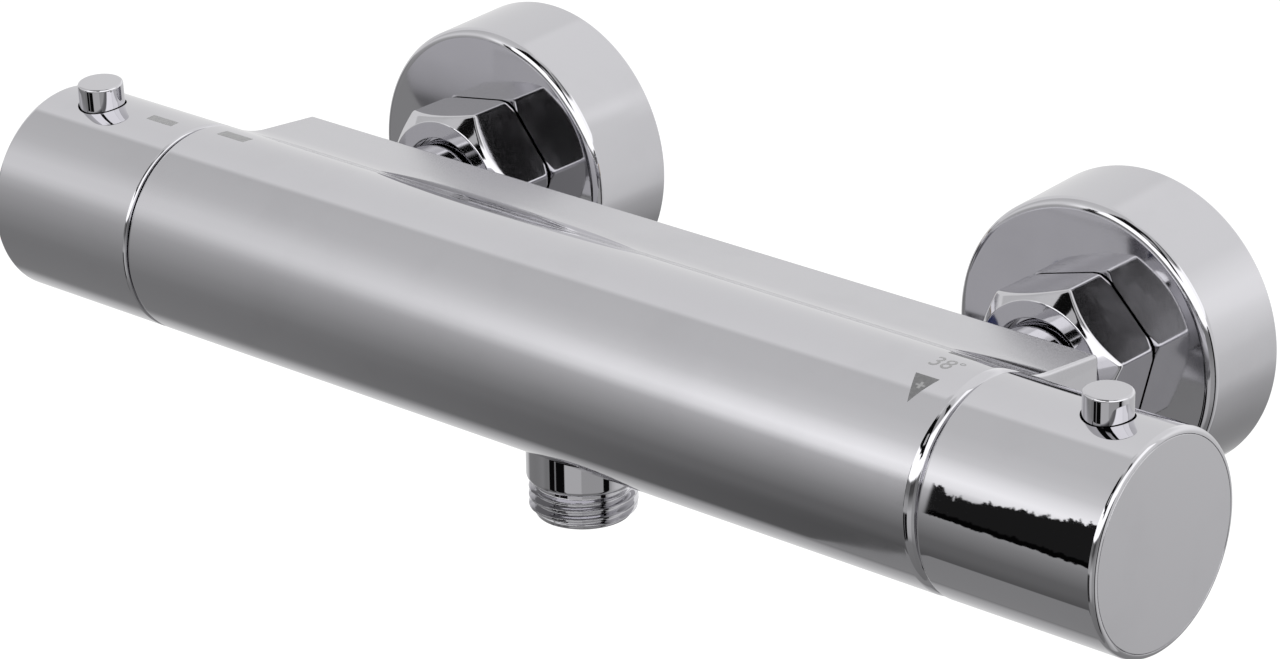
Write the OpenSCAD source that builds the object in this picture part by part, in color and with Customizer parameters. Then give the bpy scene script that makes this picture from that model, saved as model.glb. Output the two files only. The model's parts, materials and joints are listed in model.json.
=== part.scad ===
// Thermostatic bar valve for a shower, exposed, for two wall connections side by side.
// The origin lies on the wall plane, midway between the two half inch wall threads.
// +X runs along the bar to the temperature knob, +Y into the wall, +Z up.

/* [Overall] */
// Distance from the wall to the axis of the bar
wall_to_axis = 80; // [78:1:92]
// Distance between the two inlets
inlet_spacing = 150; // [147:1:152]
// Length of the body casting between the knobs
body_length = 196; // [194:1:206]
// Outer diameter of the bar and of both knobs
body_d = 42; // [41.5:0.25:43]
// Length of a knob with its end cap
knob_length = 38; // [37.5:0.5:42]

/* [Body casting] */
// Rounding of the round rims where the knobs join
body_edge = 2.5; // [1:0.25:3]
// Distance from the axis back to the flat rear face
ledge_depth = 33; // [32:0.5:35]
// Height of the ledge over the axis at its rear edge
ledge_height = 14.2; // [13.8:0.2:16]
// Fall of the ledge towards the wall, in degrees
ledge_fall = 5.5; // [3:0.5:7]
// Radius of the hollow between the round bar and the ledge
valley_r = 20; // [14:1:22]
// Rounding of the rear edges of the ledge
ledge_edge = 1.2; // [0.6:0.2:2]
// Diameter of the outlet boss
boss_d = 21.8; // [21.4:0.2:23]
// Distance from the axis down to the end of the outlet boss
boss_drop = 27.2; // [26:0.2:30]
// Rounding of the lower edge of the boss
boss_edge = 1.2; // [0.8:0.1:1.6]
// Distance that the outlet lies behind the axis
outlet_setback = 3; // [0:0.5:4]

/* [Water ways] */
// Diameter of the passage for mixed water between both valves
mixed_d = 12; // [10:0.5:13]
// Diameter of the gallery that brings hot water to the cartridge
hot_gallery_d = 9; // [7:0.5:10]
// Distance of that gallery behind the axis
hot_gallery_back = 22; // [21.5:0.5:23]
// Distance along the bar from the middle to the hot port
hot_port_at = 53; // [52:0.5:54]
// Diameter of the port from the gallery into the cartridge pocket
hot_port_d = 8; // [7:0.5:9]
// Diameter of the ports behind the inlet tails
inlet_port_d = 10; // [8:0.5:11]
// Diameter of the gallery from the shut-off to the outlet
outlet_gallery_d = 6; // [5:0.25:6.25]
// Distance of that gallery below the axis
outlet_gallery_drop = 15.6; // [15.4:0.1:16]

/* [Thermostatic cartridge] */
// Diameter of the pocket that holds the cartridge
pocket_d = 30.4; // [30:0.2:31]
// Distance from the middle of the bar to the bottom of the pocket
pocket_from = 44; // [43:0.5:44.5]
// Distance that the sleeve reaches beyond the cold inlet
sleeve_beyond = 15; // [14.5:0.5:16]
// Wall of the cartridge sleeve
sleeve_wall = 3.6; // [3.4:0.1:4]
// Thickness of the lip at the inner end of the sleeve
sleeve_lip = 2; // [1.5:0.25:2.25]
// Width of the water windows along the sleeve
window_width = 5; // [4.8:0.1:5.4]
// Width of the water windows across the sleeve
window_span = 11; // [8:0.5:12]
// Diameter of the wax element
wax_d = 8; // [7:0.5:9]
// Length of the wax element behind its collar
wax_length = 20; // [16:0.5:20.5]
// Diameter of the piston of the wax element
wax_piston_d = 3; // [2.5:0.25:3.5]
// Diameter of the adjusting thread
adjust_d = 7; // [6.5:0.25:7.5]
// Outer diameter of the adjuster
adjuster_d = 21; // [20:0.5:22]
// Length of the adjuster
adjuster_length = 11.5; // [11:0.25:12]

/* [Shut-off headwork] */
// Diameter of the pocket that holds the headwork
headwork_pocket_d = 23; // [22.6:0.2:23.6]
// Distance from the middle of the bar to the seat of the headwork
seat_from = 58; // [57:0.5:59]
// Diameter of the ring-shaped water chamber round the headwork
chamber_d = 29; // [28:0.25:29.5]
// Length of that chamber along the bar
chamber_length = 9; // [8:0.25:9.5]
// Diameter of the ceramic discs
disc_d = 17; // [16.6:0.1:17.2]
// Thickness of one ceramic disc
disc_thickness = 3; // [2.5:0.1:3.2]
// Thickness of the seat seal
seat_seal_thickness = 2.3; // [2:0.1:2.5]

/* [Spindles and retaining parts] */
// Diameter of both spindles where they run in their bearings
spindle_d = 10; // [9.6:0.2:10.4]
// Diameter of the splined spindle ends
spline_d = 8; // [7.6:0.1:8.4]
// Number of splines on a spindle end
spline_count = 20; // [16:1:24]
// Height of one spline
spline_height = 0.6; // [0.4:0.1:0.7]
// Width across flats of both retaining hexes
retaining_af = 30; // [28:0.5:30.5]
// Height of both hexes outside the body
retaining_height = 3.6; // [3:0.2:4]
// Diameter of the neck that carries a stop ring
neck_d = 15; // [14:0.5:15.5]
// Diameter of the screwed end of the headwork
headwork_thread_d = 27.8; // [27:0.2:28.4]
// Length of the screwed end of the headwork
headwork_thread_length = 10; // [8:0.5:12]

/* [Knobs] */
// Wall of a knob shell
knob_wall = 2.5; // [2.3:0.1:2.7]
// Small rounding of the inner rim of a knob
knob_rim = 0.5; // [0.3:0.1:0.8]
// Rounding of the outer rim of a knob
knob_edge = 1.2; // [0.8:0.1:1.6]
// Thickness of an end cap
cap_thickness = 2; // [1.6:0.1:2.4]
// Depth that the rim of an end cap reaches into the shell
cap_plug = 3; // [2:0.25:3.5]
// Thickness of a knob insert
insert_thickness = 12; // [11.6:0.1:12.4]
// Diameter of a knob screw
screw_d = 4; // [3.5:0.25:4.5]
// Length of a knob screw under its head
screw_length = 14; // [12:0.5:14.5]
// Diameter of the head of a knob screw
screw_head_d = 7; // [6.6:0.2:7.4]
// Thickness of a stop ring
stop_ring_thickness = 2; // [1.8:0.1:2.2]
// Height of the stops on a stop ring
stop_height = 3; // [2.8:0.1:3.2]
// Width of the stops and of the lug that meets them
stop_width = 3; // [2.5:0.25:3.5]
// Turn of the temperature knob from 38 degrees to its hot stop, in degrees
hot_turn = 90; // [60:5:100]
// Turn of the temperature knob from 38 degrees to its cold stop, in degrees
cold_turn = 200; // [160:5:205]
// Turn of the flow knob from shut to fully open, in degrees
open_turn = 90; // [60:5:120]
// Turn of the flow knob from shut to its economy catch, in degrees
economy_turn = 40; // [30:5:50]
// Lean of the flow knob to the front while it is shut, in degrees
flow_lean = 3.5; // [0:0.5:8]

/* [Push buttons] */
// Diameter of a push button
button_d = 9.2; // [8.8:0.1:9.6]
// Height that a button stands over the crest of its knob
button_proud = 4.6; // [4:0.2:5]
// Travel of a button
button_travel = 2; // [1.6:0.1:2.1]
// Rounding of the top edge of a button
button_edge = 0.6; // [0.4:0.1:1]
// Distance from the axis of a button to the end face of its knob
button_inset = 12.6; // [12.4:0.1:13]
// Diameter of the spring wire under a button
button_wire_d = 0.6; // [0.4:0.05:0.7]
// Number of turns of a button spring
button_spring_turns = 4; // [3:1:5]

/* [Inlets] */
// Width across flats of the union nuts
nut_af = 30; // [29.6:0.2:32]
// Length of the union nuts
nut_length = 13.6; // [13.4:0.1:14.4]
// Outer diameter of the flat ring on the front of a nut
nut_face_d = 28; // [27:0.25:28.5]
// Thickness of the inner collar of a nut
nut_collar = 2.3; // [2:0.1:2.8]
// Outer diameter of the three-quarter inch thread
union_thread_d = 26.4; // [26:0.1:26.6]
// Outer diameter of an inlet tail
tail_d = 19.4; // [19:0.2:20]
// Bore of an inlet tail
tail_bore_d = 15; // [14:0.25:15.2]
// Diameter of the collar that the nut pulls on
tail_collar_d = 24.4; // [23.6:0.2:25]
// Thickness of that collar
tail_collar = 2.4; // [2.2:0.1:2.8]
// Diameter of the screwed end of a tail in the body
tail_thread_d = 20.6; // [20.4:0.2:21.4]
// Length of that screwed end
tail_thread_length = 5; // [4:0.5:5.5]
// Thickness of the sealing washers
washer_thickness = 2; // [1.6:0.1:2.4]

/* [Wall unions and rosettes] */
// Outer diameter of the half inch thread for the wall
wall_thread_d = 20.955; // [20.755:0.1:21.155]
// Length of the half inch thread beyond the wall plane
wall_thread_reach = 13; // [11:0.5:16]
// Offset between the two threads of an eccentric union
union_throw = 5; // [3:0.5:6]
// Thickness of the cheek between the two threads
cheek_thickness = 6; // [5:0.5:6.5]
// Outer diameter of a rosette at the wall
rosette_d = 60.3; // [60:0.1:64]
// Outer diameter of a rosette at its front edge
rosette_front_d = 59; // [57:0.5:60]
// Depth of a rosette
rosette_depth = 20; // [19.5:0.5:21]
// Sheet thickness of a rosette
rosette_sheet = 1.2; // [0.8:0.1:1.5]
// Rounding of the front edge of a rosette
rosette_edge = 2; // [1.6:0.1:3]

/* [Outlet] */
// Outer diameter of the half inch thread of the outlet
outlet_thread_d = 20.955; // [20.755:0.1:21.155]
// Length of that thread below the boss
outlet_thread_length = 7.1; // [6.5:0.1:9]
// Depth of the outlet thread
outlet_thread_depth = 1.16; // [1:0.04:1.2]
// Diameter of the screwed root of the nipple in the boss
nipple_root_d = 17.4; // [17.2:0.1:17.8]
// Length of that screwed root
nipple_root_length = 7.6; // [7:0.1:7.8]
// Bore of the outlet nipple
nipple_bore_d = 12; // [11:0.25:12.5]

/* [Hidden] */

$fn = 96;

// One overrun serves all cuts
overrun = 1;
// Gap between pieces that move past each other
moving_gap = 0.3;
// Radial clearance of a shaft that turns or slides in its bore
running_gap = 0.06;
// Clearance of a piece that is only put into its place
set_gap = 0.1;
// Clearance of a seal to the wall that it seals against
seal_gap = 0.05;

body_r = body_d / 2;
body_half = body_length / 2;
inlet_x = inlet_spacing / 2;
// The bar hangs below the wall threads by the offset of the eccentric unions
axis_drop = union_throw;

// Section of the ledge: first number runs back from the axis, second one up
fall_up = [sin(ledge_fall), cos(ledge_fall)];
fall_along = [cos(ledge_fall), -sin(ledge_fall)];
ledge_line = fall_up * [ledge_depth, ledge_height];
ledge_corner_back = ledge_depth - ledge_edge;
ledge_corner = [ledge_corner_back, (ledge_line - ledge_edge - fall_up.x * ledge_corner_back) / fall_up.y];
valley_reach = body_r + valley_r;
valley_rise = ledge_line + valley_r;
valley_run = sqrt(valley_reach * valley_reach - valley_rise * valley_rise);
valley_centre = valley_rise * fall_up + valley_run * fall_along;
valley_on_ledge = valley_centre - valley_r * fall_up;

// Seal rings
ring_wire_d = 1.8;
ring_groove_depth = ring_wire_d + seal_gap - set_gap;
ring_groove_width = ring_wire_d + 2 * set_gap;

// Cartridge, counted along the bar from its middle
pocket_r = pocket_d / 2;
sleeve_r = pocket_r - set_gap;
sleeve_from = pocket_from + set_gap;
sleeve_to = inlet_x + sleeve_beyond;
sleeve_bore_r = sleeve_r - sleeve_wall;
channel_depth = 1.2;
channel_margin = 0.5;
key_width = 3;
key_depth = 1.6;
key_slot_from = sleeve_to - 9;
sleeve_ring_at = [hot_port_at - 5.4, (hot_port_at + inlet_x) / 2, inlet_x + 4.4];
slide_from = hot_port_at;
slide_to = inlet_x;
slide_r = sleeve_bore_r - running_gap;
slide_wall = 2.8;
hub_inset = 3;
hub_length = 5;
hub_wall = 1.4;
hub_to = slide_to - hub_inset;
hub_from = hub_to - hub_length;
spoke_width = 2;
wax_from = hub_to - wax_length;
wax_collar_length = 1.5;
wax_collar_rise = 1.2;
wax_collar_to = hub_to + wax_collar_length;
adjuster_gap = 1.5;
adjuster_from = slide_to + adjuster_gap;
adjuster_to = adjuster_from + adjuster_length;
adjuster_r = adjuster_d / 2;
adjuster_wall = 2.6;
adjuster_bore_r = adjuster_r - adjuster_wall;
adjuster_rim = 0.6;
adjuster_rim_height = 0.5;
adjuster_nut_length = 4;
plate_from = adjuster_from + adjuster_rim_height;
plate_thickness = 1.6;
plate_to = plate_from + plate_thickness;
overload_to = adjuster_to - adjuster_nut_length;
spring_wire_d = 1;
overload_coil_r = 5.8;
overload_turns = 3;
return_coil_r = 7.4;
return_turns = 5;
return_squeeze = 2.6;
screwed_tip_from = overload_to - 1;
collar_from = sleeve_to + moving_gap;
collar_thickness = 2;
collar_to = collar_from + collar_thickness;
collar_r = spindle_d / 2 + 1.5;
cartridge_thread_r = pocket_r + 1.1;
retaining_to = body_half + retaining_height;
neck_to = retaining_to + stop_ring_thickness;
spindle_ring_at = collar_to + 3;

// Knob parts, counted along the bar from its middle
knob_from = body_half + moving_gap;
knob_to = knob_from + knob_length;
knob_bore_r = body_r - knob_wall;
cap_r = body_r - knob_edge - set_gap;
cap_from = knob_to - cap_thickness;
cap_plug_r = knob_bore_r - set_gap;
cap_plug_wall = 2;
insert_from = neck_to + stop_height + moving_gap;
insert_to = insert_from + insert_thickness;
insert_floor = 3;
insert_wall = 1.4;
insert_hub_r = 7.4;
insert_rib = 2;
spline_r = spline_d / 2;
spline_root_r = spline_r - spline_height;
spline_from = neck_to + moving_gap;
screw_web = 1.7;
spline_to = insert_to - screw_web - set_gap;
screw_head_height = 2.5;
screw_key_af = 2.5;
screw_key_depth = 1.5;
stop_ring_r = 17;
stop_inner_r = neck_d / 2 + 1.6;
stop_outer_r = stop_inner_r + 2.4;
stop_lift = moving_gap;
// Turn between the middles of two stops that just leave the moving gap open
stop_meet = 2 * asin(stop_width / 2 / stop_inner_r) + 2 * asin(moving_gap / 2 / stop_inner_r);

// Button parts: heights over the axis of the bar
button_at = knob_to - button_inset;
button_r = button_d / 2;
button_top = body_r + button_proud;
button_hole_r = button_r + moving_gap;
foot_r = button_r + 0.8;
foot_top = sqrt(knob_bore_r * knob_bore_r - foot_r * foot_r) - moving_gap;
foot_thickness = 1.8;
foot_bottom = foot_top - foot_thickness;
latch_width = 5;
catch_lift = 1.2;
latch_to = neck_to + catch_lift + moving_gap;
catch_width = 2;
catch_inner_r = sqrt(foot_top * foot_top + latch_width * latch_width / 4) - button_travel + set_gap;
catch_meet = asin((latch_width + catch_width + 2 * moving_gap) / 2 / catch_inner_r);
seat_top = foot_bottom - 6;
seat_thickness = 2.4;
seat_width = 9;
button_coil_r = button_r - 1.5;
cross_turn = [0, 90];
quarter_turns = [0, 90, 180, 270];

// Headwork places, counted along the bar from its middle to the flow knob
headwork_r = headwork_pocket_d / 2 - set_gap;
headwork_from = seat_from + set_gap;
seat_seal_to = headwork_from + seat_seal_thickness;
seat_seal_wall = 1.4;
fixed_disc_from = seat_seal_to + seal_gap;
fixed_disc_to = fixed_disc_from + disc_thickness;
turning_disc_from = fixed_disc_to + seal_gap;
turning_disc_to = turning_disc_from + disc_thickness;
disc_r = disc_d / 2;
disc_pocket_r = disc_r + set_gap + running_gap;
disc_port_from_r = 2.2;
disc_port_to_r = 7;
disc_port_half = 38;
chamber_from = turning_disc_to;
chamber_to = chamber_from + chamber_length;
driver_from = turning_disc_to + seal_gap;
driver_thickness = 2;
driver_to = driver_from + driver_thickness;
driver_width = 7;
prong_depth = 1.5;
prong_out = 7.4;
prong_in = 5;
prong_width = 2.4;
headwork_hollow_to = chamber_to - 0.6;
headwork_window_d = 6;
headwork_window_at = chamber_from + chamber_length / 2;
thin_shaft_r = spindle_d / 2 - 1;
headwork_thread_from = body_half - headwork_thread_length;
headwork_thread_r = headwork_thread_d / 2;
headwork_ring_at = [fixed_disc_to, headwork_thread_from - 6];
flow_collar_to = headwork_hollow_to - set_gap;
flow_ring_at = headwork_hollow_to + 6;

// Inlet places, counted from the wall plane out into the room
tail_face = wall_to_axis - ledge_depth;
tail_r = tail_d / 2;
tail_end = tail_face + tail_thread_length;
nut_from = rosette_depth + 0.4;
nut_to = nut_from + nut_length;
nut_hole_r = tail_r + 0.9;
nut_corner_r = nut_af / sqrt(3);
nut_cone = nut_corner_r - nut_face_d / 2;
nut_rear_cut = 0.7;
nut_turn_hot = 9.7;
nut_turn_cold = 15.4;
tail_collar_to = nut_to - nut_collar - moving_gap;
tail_collar_from = tail_collar_to - tail_collar;
union_end = tail_collar_from - washer_thickness;
union_thread_r = union_thread_d / 2;
union_bore_r = 8.5;
cheek_r = union_thread_r + 1;
cheek_to = rosette_depth - rosette_sheet - 3;
cheek_from = cheek_to - cheek_thickness;
cheek_middle = (cheek_from + cheek_to) / 2;
wall_thread_r = wall_thread_d / 2;
wall_bore_r = 6.5;
union_ease = 1;
washer_r = tail_collar_d / 2 - set_gap;
washer_bore_r = 8.2;
strainer_r = 8.9;
strainer_thickness = 0.6;
strainer_recess = strainer_thickness + set_gap;
strainer_cell = 2.8;
strainer_bar = 0.8;
check_from = tail_collar_from + 3;
check_length = 12;
check_to = check_from + check_length;
check_r = tail_bore_d / 2 - set_gap;
check_wall = 1.6;
check_bar = 1.6;
check_lip = 1.2;
check_disc_gap = 0.5;
tail_inner_r = 6;
rosette_hole_r = union_thread_r + set_gap;
rosette_front_r = rosette_front_d / 2;

// Outlet places, counted from the axis down
nipple_r = nipple_root_d / 2;
nipple_from = boss_drop - nipple_root_length;
nipple_to = boss_drop + outlet_thread_length;
nipple_ring_at = nipple_from + 3;
outlet_thread_r = outlet_thread_d / 2;
outlet_root_r = outlet_thread_r - outlet_thread_depth;
outlet_relief = 0.9;
outlet_seat_r = 6.5;

// Tones for the preview
chrome = "silver";
brass = "goldenrod";
plastic = "gainsboro";
rubber = "dimgray";
steel = "slategray";

// Places a piece that was drawn along +Z, with its top to -X, on the axis of the bar
module on_bar() {
    translate([0, -wall_to_axis, -axis_drop]) rotate([0, 90, 0]) children();
}

// The same for the end of the bar with the flow knob
module on_flow_end() {
    mirror([1, 0, 0]) on_bar() children();
}

// The turning parts of that end, in the lean that they have while shut
module on_flow_knob() {
    on_flow_end() rotate(flow_lean) children();
}

// Places a piece that was drawn from the wall outwards at one inlet
module at_inlet(side) {
    translate([side * inlet_x, 0, -axis_drop]) rotate([90, 0, 0]) children();
}

// Places a piece that was drawn downwards from the axis at the outlet
module at_outlet() {
    translate([0, -wall_to_axis + outlet_setback, -axis_drop]) rotate([180, 0, 0]) children();
}

// Places a piece that was drawn upwards from the axis at the button of a knob
module at_button() {
    translate([0, 0, button_at]) rotate([0, -90, 0]) children();
}

module rod(r, from, to) {
    translate([0, 0, from]) cylinder(r = r, h = to - from);
}

module bore(r, from, to) {
    rod(r, from - overrun, to + overrun);
}

module ring(outer, inner, from, to) {
    difference() {
        rod(outer, from, to);
        bore(inner, from, to);
    }
}

// A box that is centred on the axis in x and y
module bar(width, depth, from, to) {
    translate([-width / 2, -depth / 2, from]) cube([width, depth, to - from]);
}

// A round seal ring just inside the wall that it seals against
module seal_ring(wall_r, at) {
    translate([0, 0, at])
        rotate_extrude()
            translate([wall_r - seal_gap - ring_wire_d / 2, 0])
                circle(d = ring_wire_d, $fn = 24);
}

// Cuts the groove for such a ring into a piece that is put into the wall
module seal_groove(wall_r, at) {
    from = at - ring_groove_width / 2;
    to = at + ring_groove_width / 2;
    difference() {
        rod(wall_r + overrun, from, to);
        bore(wall_r - set_gap - ring_groove_depth, from, to);
    }
}

function round_point(r, a) = [r * cos(a), r * sin(a)];

// Outline of the splines; the same form with more room cuts the bore for them
module spline_outline(room) {
    pitch = 360 / spline_count;
    polygon([
        for (i = [0 : spline_count - 1])
            each [
                round_point(spline_root_r + room, (i - 0.35) * pitch),
                round_point(spline_r + room, (i - 0.15) * pitch),
                round_point(spline_r + room, (i + 0.15) * pitch),
                round_point(spline_root_r + room, (i + 0.35) * pitch)
            ]
    ]);
}

// A coil of round wire along a helix, drawn upwards from zero
module coil(coil_r, wire_d, turns, length) {
    steps = 12;
    sides = 6;
    rings = turns * steps;
    rise = length - wire_d;
    points = [
        for (i = [0 : rings])
            let (a = i * 360 / steps, z = wire_d / 2 + rise * i / rings)
                for (j = [0 : sides - 1])
                    let (b = j * 360 / sides, reach = coil_r + wire_d / 2 * cos(b))
                        [reach * cos(a), reach * sin(a), z + wire_d / 2 * sin(b)]
    ];
    walls = [
        for (i = [0 : rings - 1])
            for (j = [0 : sides - 1])
                let (k = (j + 1) % sides, m = i * sides, n = (i + 1) * sides)
                    each [[m + j, n + j, n + k], [m + j, n + k, m + k]]
    ];
    first = [for (j = [0 : sides - 1]) j];
    last = [for (j = [sides - 1 : -1 : 0]) rings * sides + j];
    polyhedron(points = points, faces = concat(walls, [first], [last]), convexity = 10);
}

// Upper half of the section of the ledge, with its hollow and its rounded rear edge
module ledge_half() {
    difference() {
        union() {
            polygon([
                [0, 0],
                valley_centre,
                valley_on_ledge,
                ledge_corner + ledge_edge * fall_up,
                ledge_corner,
                [ledge_depth, ledge_corner.y],
                [ledge_depth, 0]
            ]);
            translate(ledge_corner) circle(r = ledge_edge);
        }
        translate(valley_centre) circle(r = valley_r);
    }
}

// The round bar with its rounded rims
module bar_form() {
    rotate_extrude() {
        translate([0, -body_half]) square([body_r - body_edge, body_length]);
        translate([0, body_edge - body_half]) square([body_r, body_length - 2 * body_edge]);
        for (side = [-1, 1])
            translate([body_r - body_edge, side * (body_half - body_edge)]) circle(r = body_edge);
    }
}

module ledge_form() {
    translate([0, 0, -body_half]) linear_extrude(body_length) rotate(90) {
        ledge_half();
        mirror([0, 1]) ledge_half();
    }
}

module boss_form() {
    rotate_extrude() {
        square([boss_d / 2, boss_drop - boss_edge]);
        square([boss_d / 2 - boss_edge, boss_drop]);
        translate([boss_d / 2 - boss_edge, boss_drop - boss_edge]) circle(r = boss_edge);
    }
}

module valve_body() {
    color(chrome) difference() {
        union() {
            on_bar() {
                bar_form();
                ledge_form();
            }
            at_outlet() boss_form();
        }
        on_bar() {
            // Pocket and mouth for the thermostatic cartridge
            rod(pocket_r, pocket_from, body_half + overrun);
            rod(cartridge_thread_r, sleeve_to, body_half + overrun);
            // Passage for the mixed water
            bore(mixed_d / 2, -seat_from, pocket_from);
            // Gallery for the hot water and its port
            translate([0, hot_gallery_back, -inlet_x]) cylinder(d = hot_gallery_d, h = inlet_x + hot_port_at);
            translate([0, hot_gallery_back, hot_port_at]) sphere(d = hot_gallery_d);
            translate([0, 0, hot_port_at]) rotate([-90, 0, 0]) cylinder(d = hot_port_d, h = hot_gallery_back);
        }
        on_flow_end() {
            // Pocket, ring-shaped chamber and mouth for the headwork
            rod(headwork_pocket_d / 2, seat_from, body_half + overrun);
            rod(chamber_d / 2, chamber_from, chamber_to);
            rod(headwork_thread_r + set_gap, headwork_thread_from, body_half + overrun);
            // Gallery to the outlet
            translate([outlet_gallery_drop, 0, 0]) cylinder(d = outlet_gallery_d, h = headwork_window_at);
        }
        for (side = [-1, 1])
            at_inlet(side) rod(tail_thread_d / 2 + set_gap, tail_face - overrun, tail_end + set_gap);
        at_inlet(-1) rod(inlet_port_d / 2, tail_face, wall_to_axis - hot_gallery_back);
        at_inlet(1) rod(inlet_port_d / 2, tail_face, wall_to_axis);
        at_outlet() {
            rod(outlet_seat_r, outlet_gallery_drop, boss_drop);
            rod(nipple_r + set_gap, nipple_from - set_gap, boss_drop + overrun);
        }
    }
}

module outlet_nipple() {
    chamfer_r = outlet_thread_r - outlet_thread_depth;
    color(chrome) at_outlet() difference() {
        rotate_extrude() polygon([
            [0, nipple_from],
            [nipple_r, nipple_from],
            [nipple_r, boss_drop],
            [outlet_root_r, boss_drop],
            [outlet_root_r, boss_drop + outlet_relief],
            [outlet_thread_r, boss_drop + outlet_relief + outlet_thread_depth / 2],
            [outlet_thread_r, nipple_to - outlet_thread_depth],
            [chamfer_r, nipple_to],
            [0, nipple_to]
        ]);
        bore(nipple_bore_d / 2, nipple_from, nipple_to);
        seal_groove(nipple_r + set_gap, nipple_ring_at);
    }
}

module outlet_o_ring() {
    color(rubber) at_outlet() seal_ring(nipple_r + set_gap, nipple_ring_at);
}

// Inlet tail: screwed into the rear of the body, with the collar that the nut pulls on
module inlet_tail(side) {
    color(chrome) at_inlet(side) difference() {
        union() {
            rod(tail_r, tail_collar_from, tail_face);
            rod(tail_collar_d / 2, tail_collar_from, tail_collar_to);
            rod(tail_thread_d / 2, tail_face, tail_end);
        }
        rod(tail_bore_d / 2, tail_collar_from - overrun, check_to + set_gap);
        bore(tail_inner_r, tail_collar_from, tail_end);
        rod(strainer_r + set_gap, tail_collar_from - overrun, tail_collar_from + strainer_recess);
    }
}

// Hexagon nut with a 45 degree cone to its face, and an inner collar
module union_nut(side, turn) {
    color(chrome) at_inlet(side) difference() {
        intersection() {
            rotate(turn) translate([0, 0, nut_from]) cylinder(r = nut_corner_r, h = nut_length, $fn = 6);
            rotate_extrude() polygon([
                [0, nut_from],
                [nut_corner_r - nut_rear_cut, nut_from],
                [nut_corner_r + overrun, nut_from + nut_rear_cut + overrun],
                [nut_corner_r + overrun, nut_to - nut_cone - overrun],
                [nut_face_d / 2, nut_to],
                [0, nut_to]
            ]);
        }
        bore(nut_hole_r, nut_from, nut_to);
        rod(union_thread_r + running_gap, nut_from - overrun, nut_to - nut_collar);
    }
}

module inlet_seal(side) {
    color(rubber) at_inlet(side) ring(washer_r, washer_bore_r, union_end, tail_collar_from);
}

// Fine strainer, drawn as a plate with a coarse grid
module inlet_strainer(side) {
    from = tail_collar_from + set_gap / 2;
    pitch = strainer_cell + strainer_bar;
    color(steel) at_inlet(side) difference() {
        rod(strainer_r, from, from + strainer_thickness);
        for (i = [-1, 0, 1])
            for (j = [-1, 0, 1])
                translate([i * pitch, j * pitch, 0])
                    bar(strainer_cell, strainer_cell, from - overrun, from + strainer_thickness + overrun);
    }
}

// Check valve insert: cage with a lip, a plate on the lip and a stem in a cross guide
module check_valve(side) {
    inner_r = check_r - check_wall;
    plate_at = check_from + check_lip;
    color(plastic) at_inlet(side) {
        ring(check_r, inner_r, check_from, check_to);
        ring(inner_r, inner_r - check_lip, check_from, plate_at);
        rod(inner_r - check_disc_gap, plate_at, plate_at + check_lip);
        rod(check_bar / 2, plate_at, check_to);
        for (a = cross_turn)
            rotate(a) bar(2 * inner_r, check_bar, check_to - check_bar, check_to);
    }
}

// Two offset threads joined by an oval cheek, with a bore on each side of it
module eccentric_union(side) {
    color(brass) at_inlet(side) difference() {
        union() {
            rod(union_thread_r, cheek_to, union_end);
            translate([0, union_throw, 0]) rod(wall_thread_r, -wall_thread_reach, cheek_from);
            rod(cheek_r, cheek_from, cheek_to);
            translate([0, union_throw, 0]) rod(cheek_r, cheek_from, cheek_to);
            translate([-cheek_r, 0, cheek_from]) cube([2 * cheek_r, union_throw, cheek_thickness]);
        }
        translate([0, union_throw, 0]) bore(wall_bore_r, -wall_thread_reach, cheek_middle);
        rod(union_bore_r, cheek_middle, union_end + overrun);
    }
}

// Cup of sheet metal with a rounded front edge and the hole for the union
module rosette(side) {
    color(chrome) at_inlet(side) rotate_extrude() difference() {
        union() {
            polygon([
                [0, 0],
                [rosette_d / 2, 0],
                [rosette_front_r, rosette_depth - rosette_edge],
                [rosette_front_r - rosette_edge, rosette_depth],
                [0, rosette_depth]
            ]);
            translate([rosette_front_r - rosette_edge, rosette_depth - rosette_edge])
                circle(r = rosette_edge);
        }
        polygon([
            [0, -overrun],
            [rosette_d / 2 - rosette_sheet, -overrun],
            [rosette_d / 2 - rosette_sheet, 0],
            [rosette_front_r - rosette_sheet, rosette_depth - rosette_edge],
            [rosette_front_r - rosette_edge, rosette_depth - rosette_sheet],
            [0, rosette_depth - rosette_sheet]
        ]);
        square([rosette_hole_r, rosette_depth + overrun]);
    }
}

// Sleeve of the cartridge: windows in two ring-shaped channels, key slots for the adjuster
module cartridge_sleeve() {
    color(plastic) on_bar() difference() {
        rod(sleeve_r, sleeve_from, sleeve_to);
        rod(sleeve_bore_r, sleeve_from + sleeve_lip, sleeve_to + overrun);
        bore(mixed_d / 2, sleeve_from, sleeve_to);
        for (at = [hot_port_at, inlet_x]) {
            from = at - window_width / 2;
            to = at + window_width / 2;
            difference() {
                rod(sleeve_r + overrun, from - channel_margin, to + channel_margin);
                bore(sleeve_r - channel_depth, from, to);
            }
            for (a = cross_turn)
                rotate(a) bar(2 * pocket_r + overrun, window_span, from, to);
        }
        bar(
            2 * (sleeve_bore_r + key_depth + set_gap), key_width + 2 * set_gap,
            key_slot_from, sleeve_to + overrun
        );
        for (at = sleeve_ring_at) seal_groove(pocket_r, at);
    }
}

module cartridge_o_rings() {
    color(rubber) on_bar() for (at = sleeve_ring_at) seal_ring(pocket_r, at);
}

// Nut that holds the cartridge in the body and carries the bearing of the spindle
module cartridge_nut() {
    color(brass) on_bar() difference() {
        union() {
            rod(cartridge_thread_r - set_gap, sleeve_to, body_half);
            translate([0, 0, body_half])
                cylinder(d = retaining_af * 2 / sqrt(3), h = retaining_height, $fn = 6);
            rod(neck_d / 2, retaining_to, neck_to);
        }
        bore(spindle_d / 2 + running_gap, sleeve_to, neck_to);
        rod(collar_r + moving_gap, sleeve_to - overrun, collar_to + set_gap);
    }
}

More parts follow.
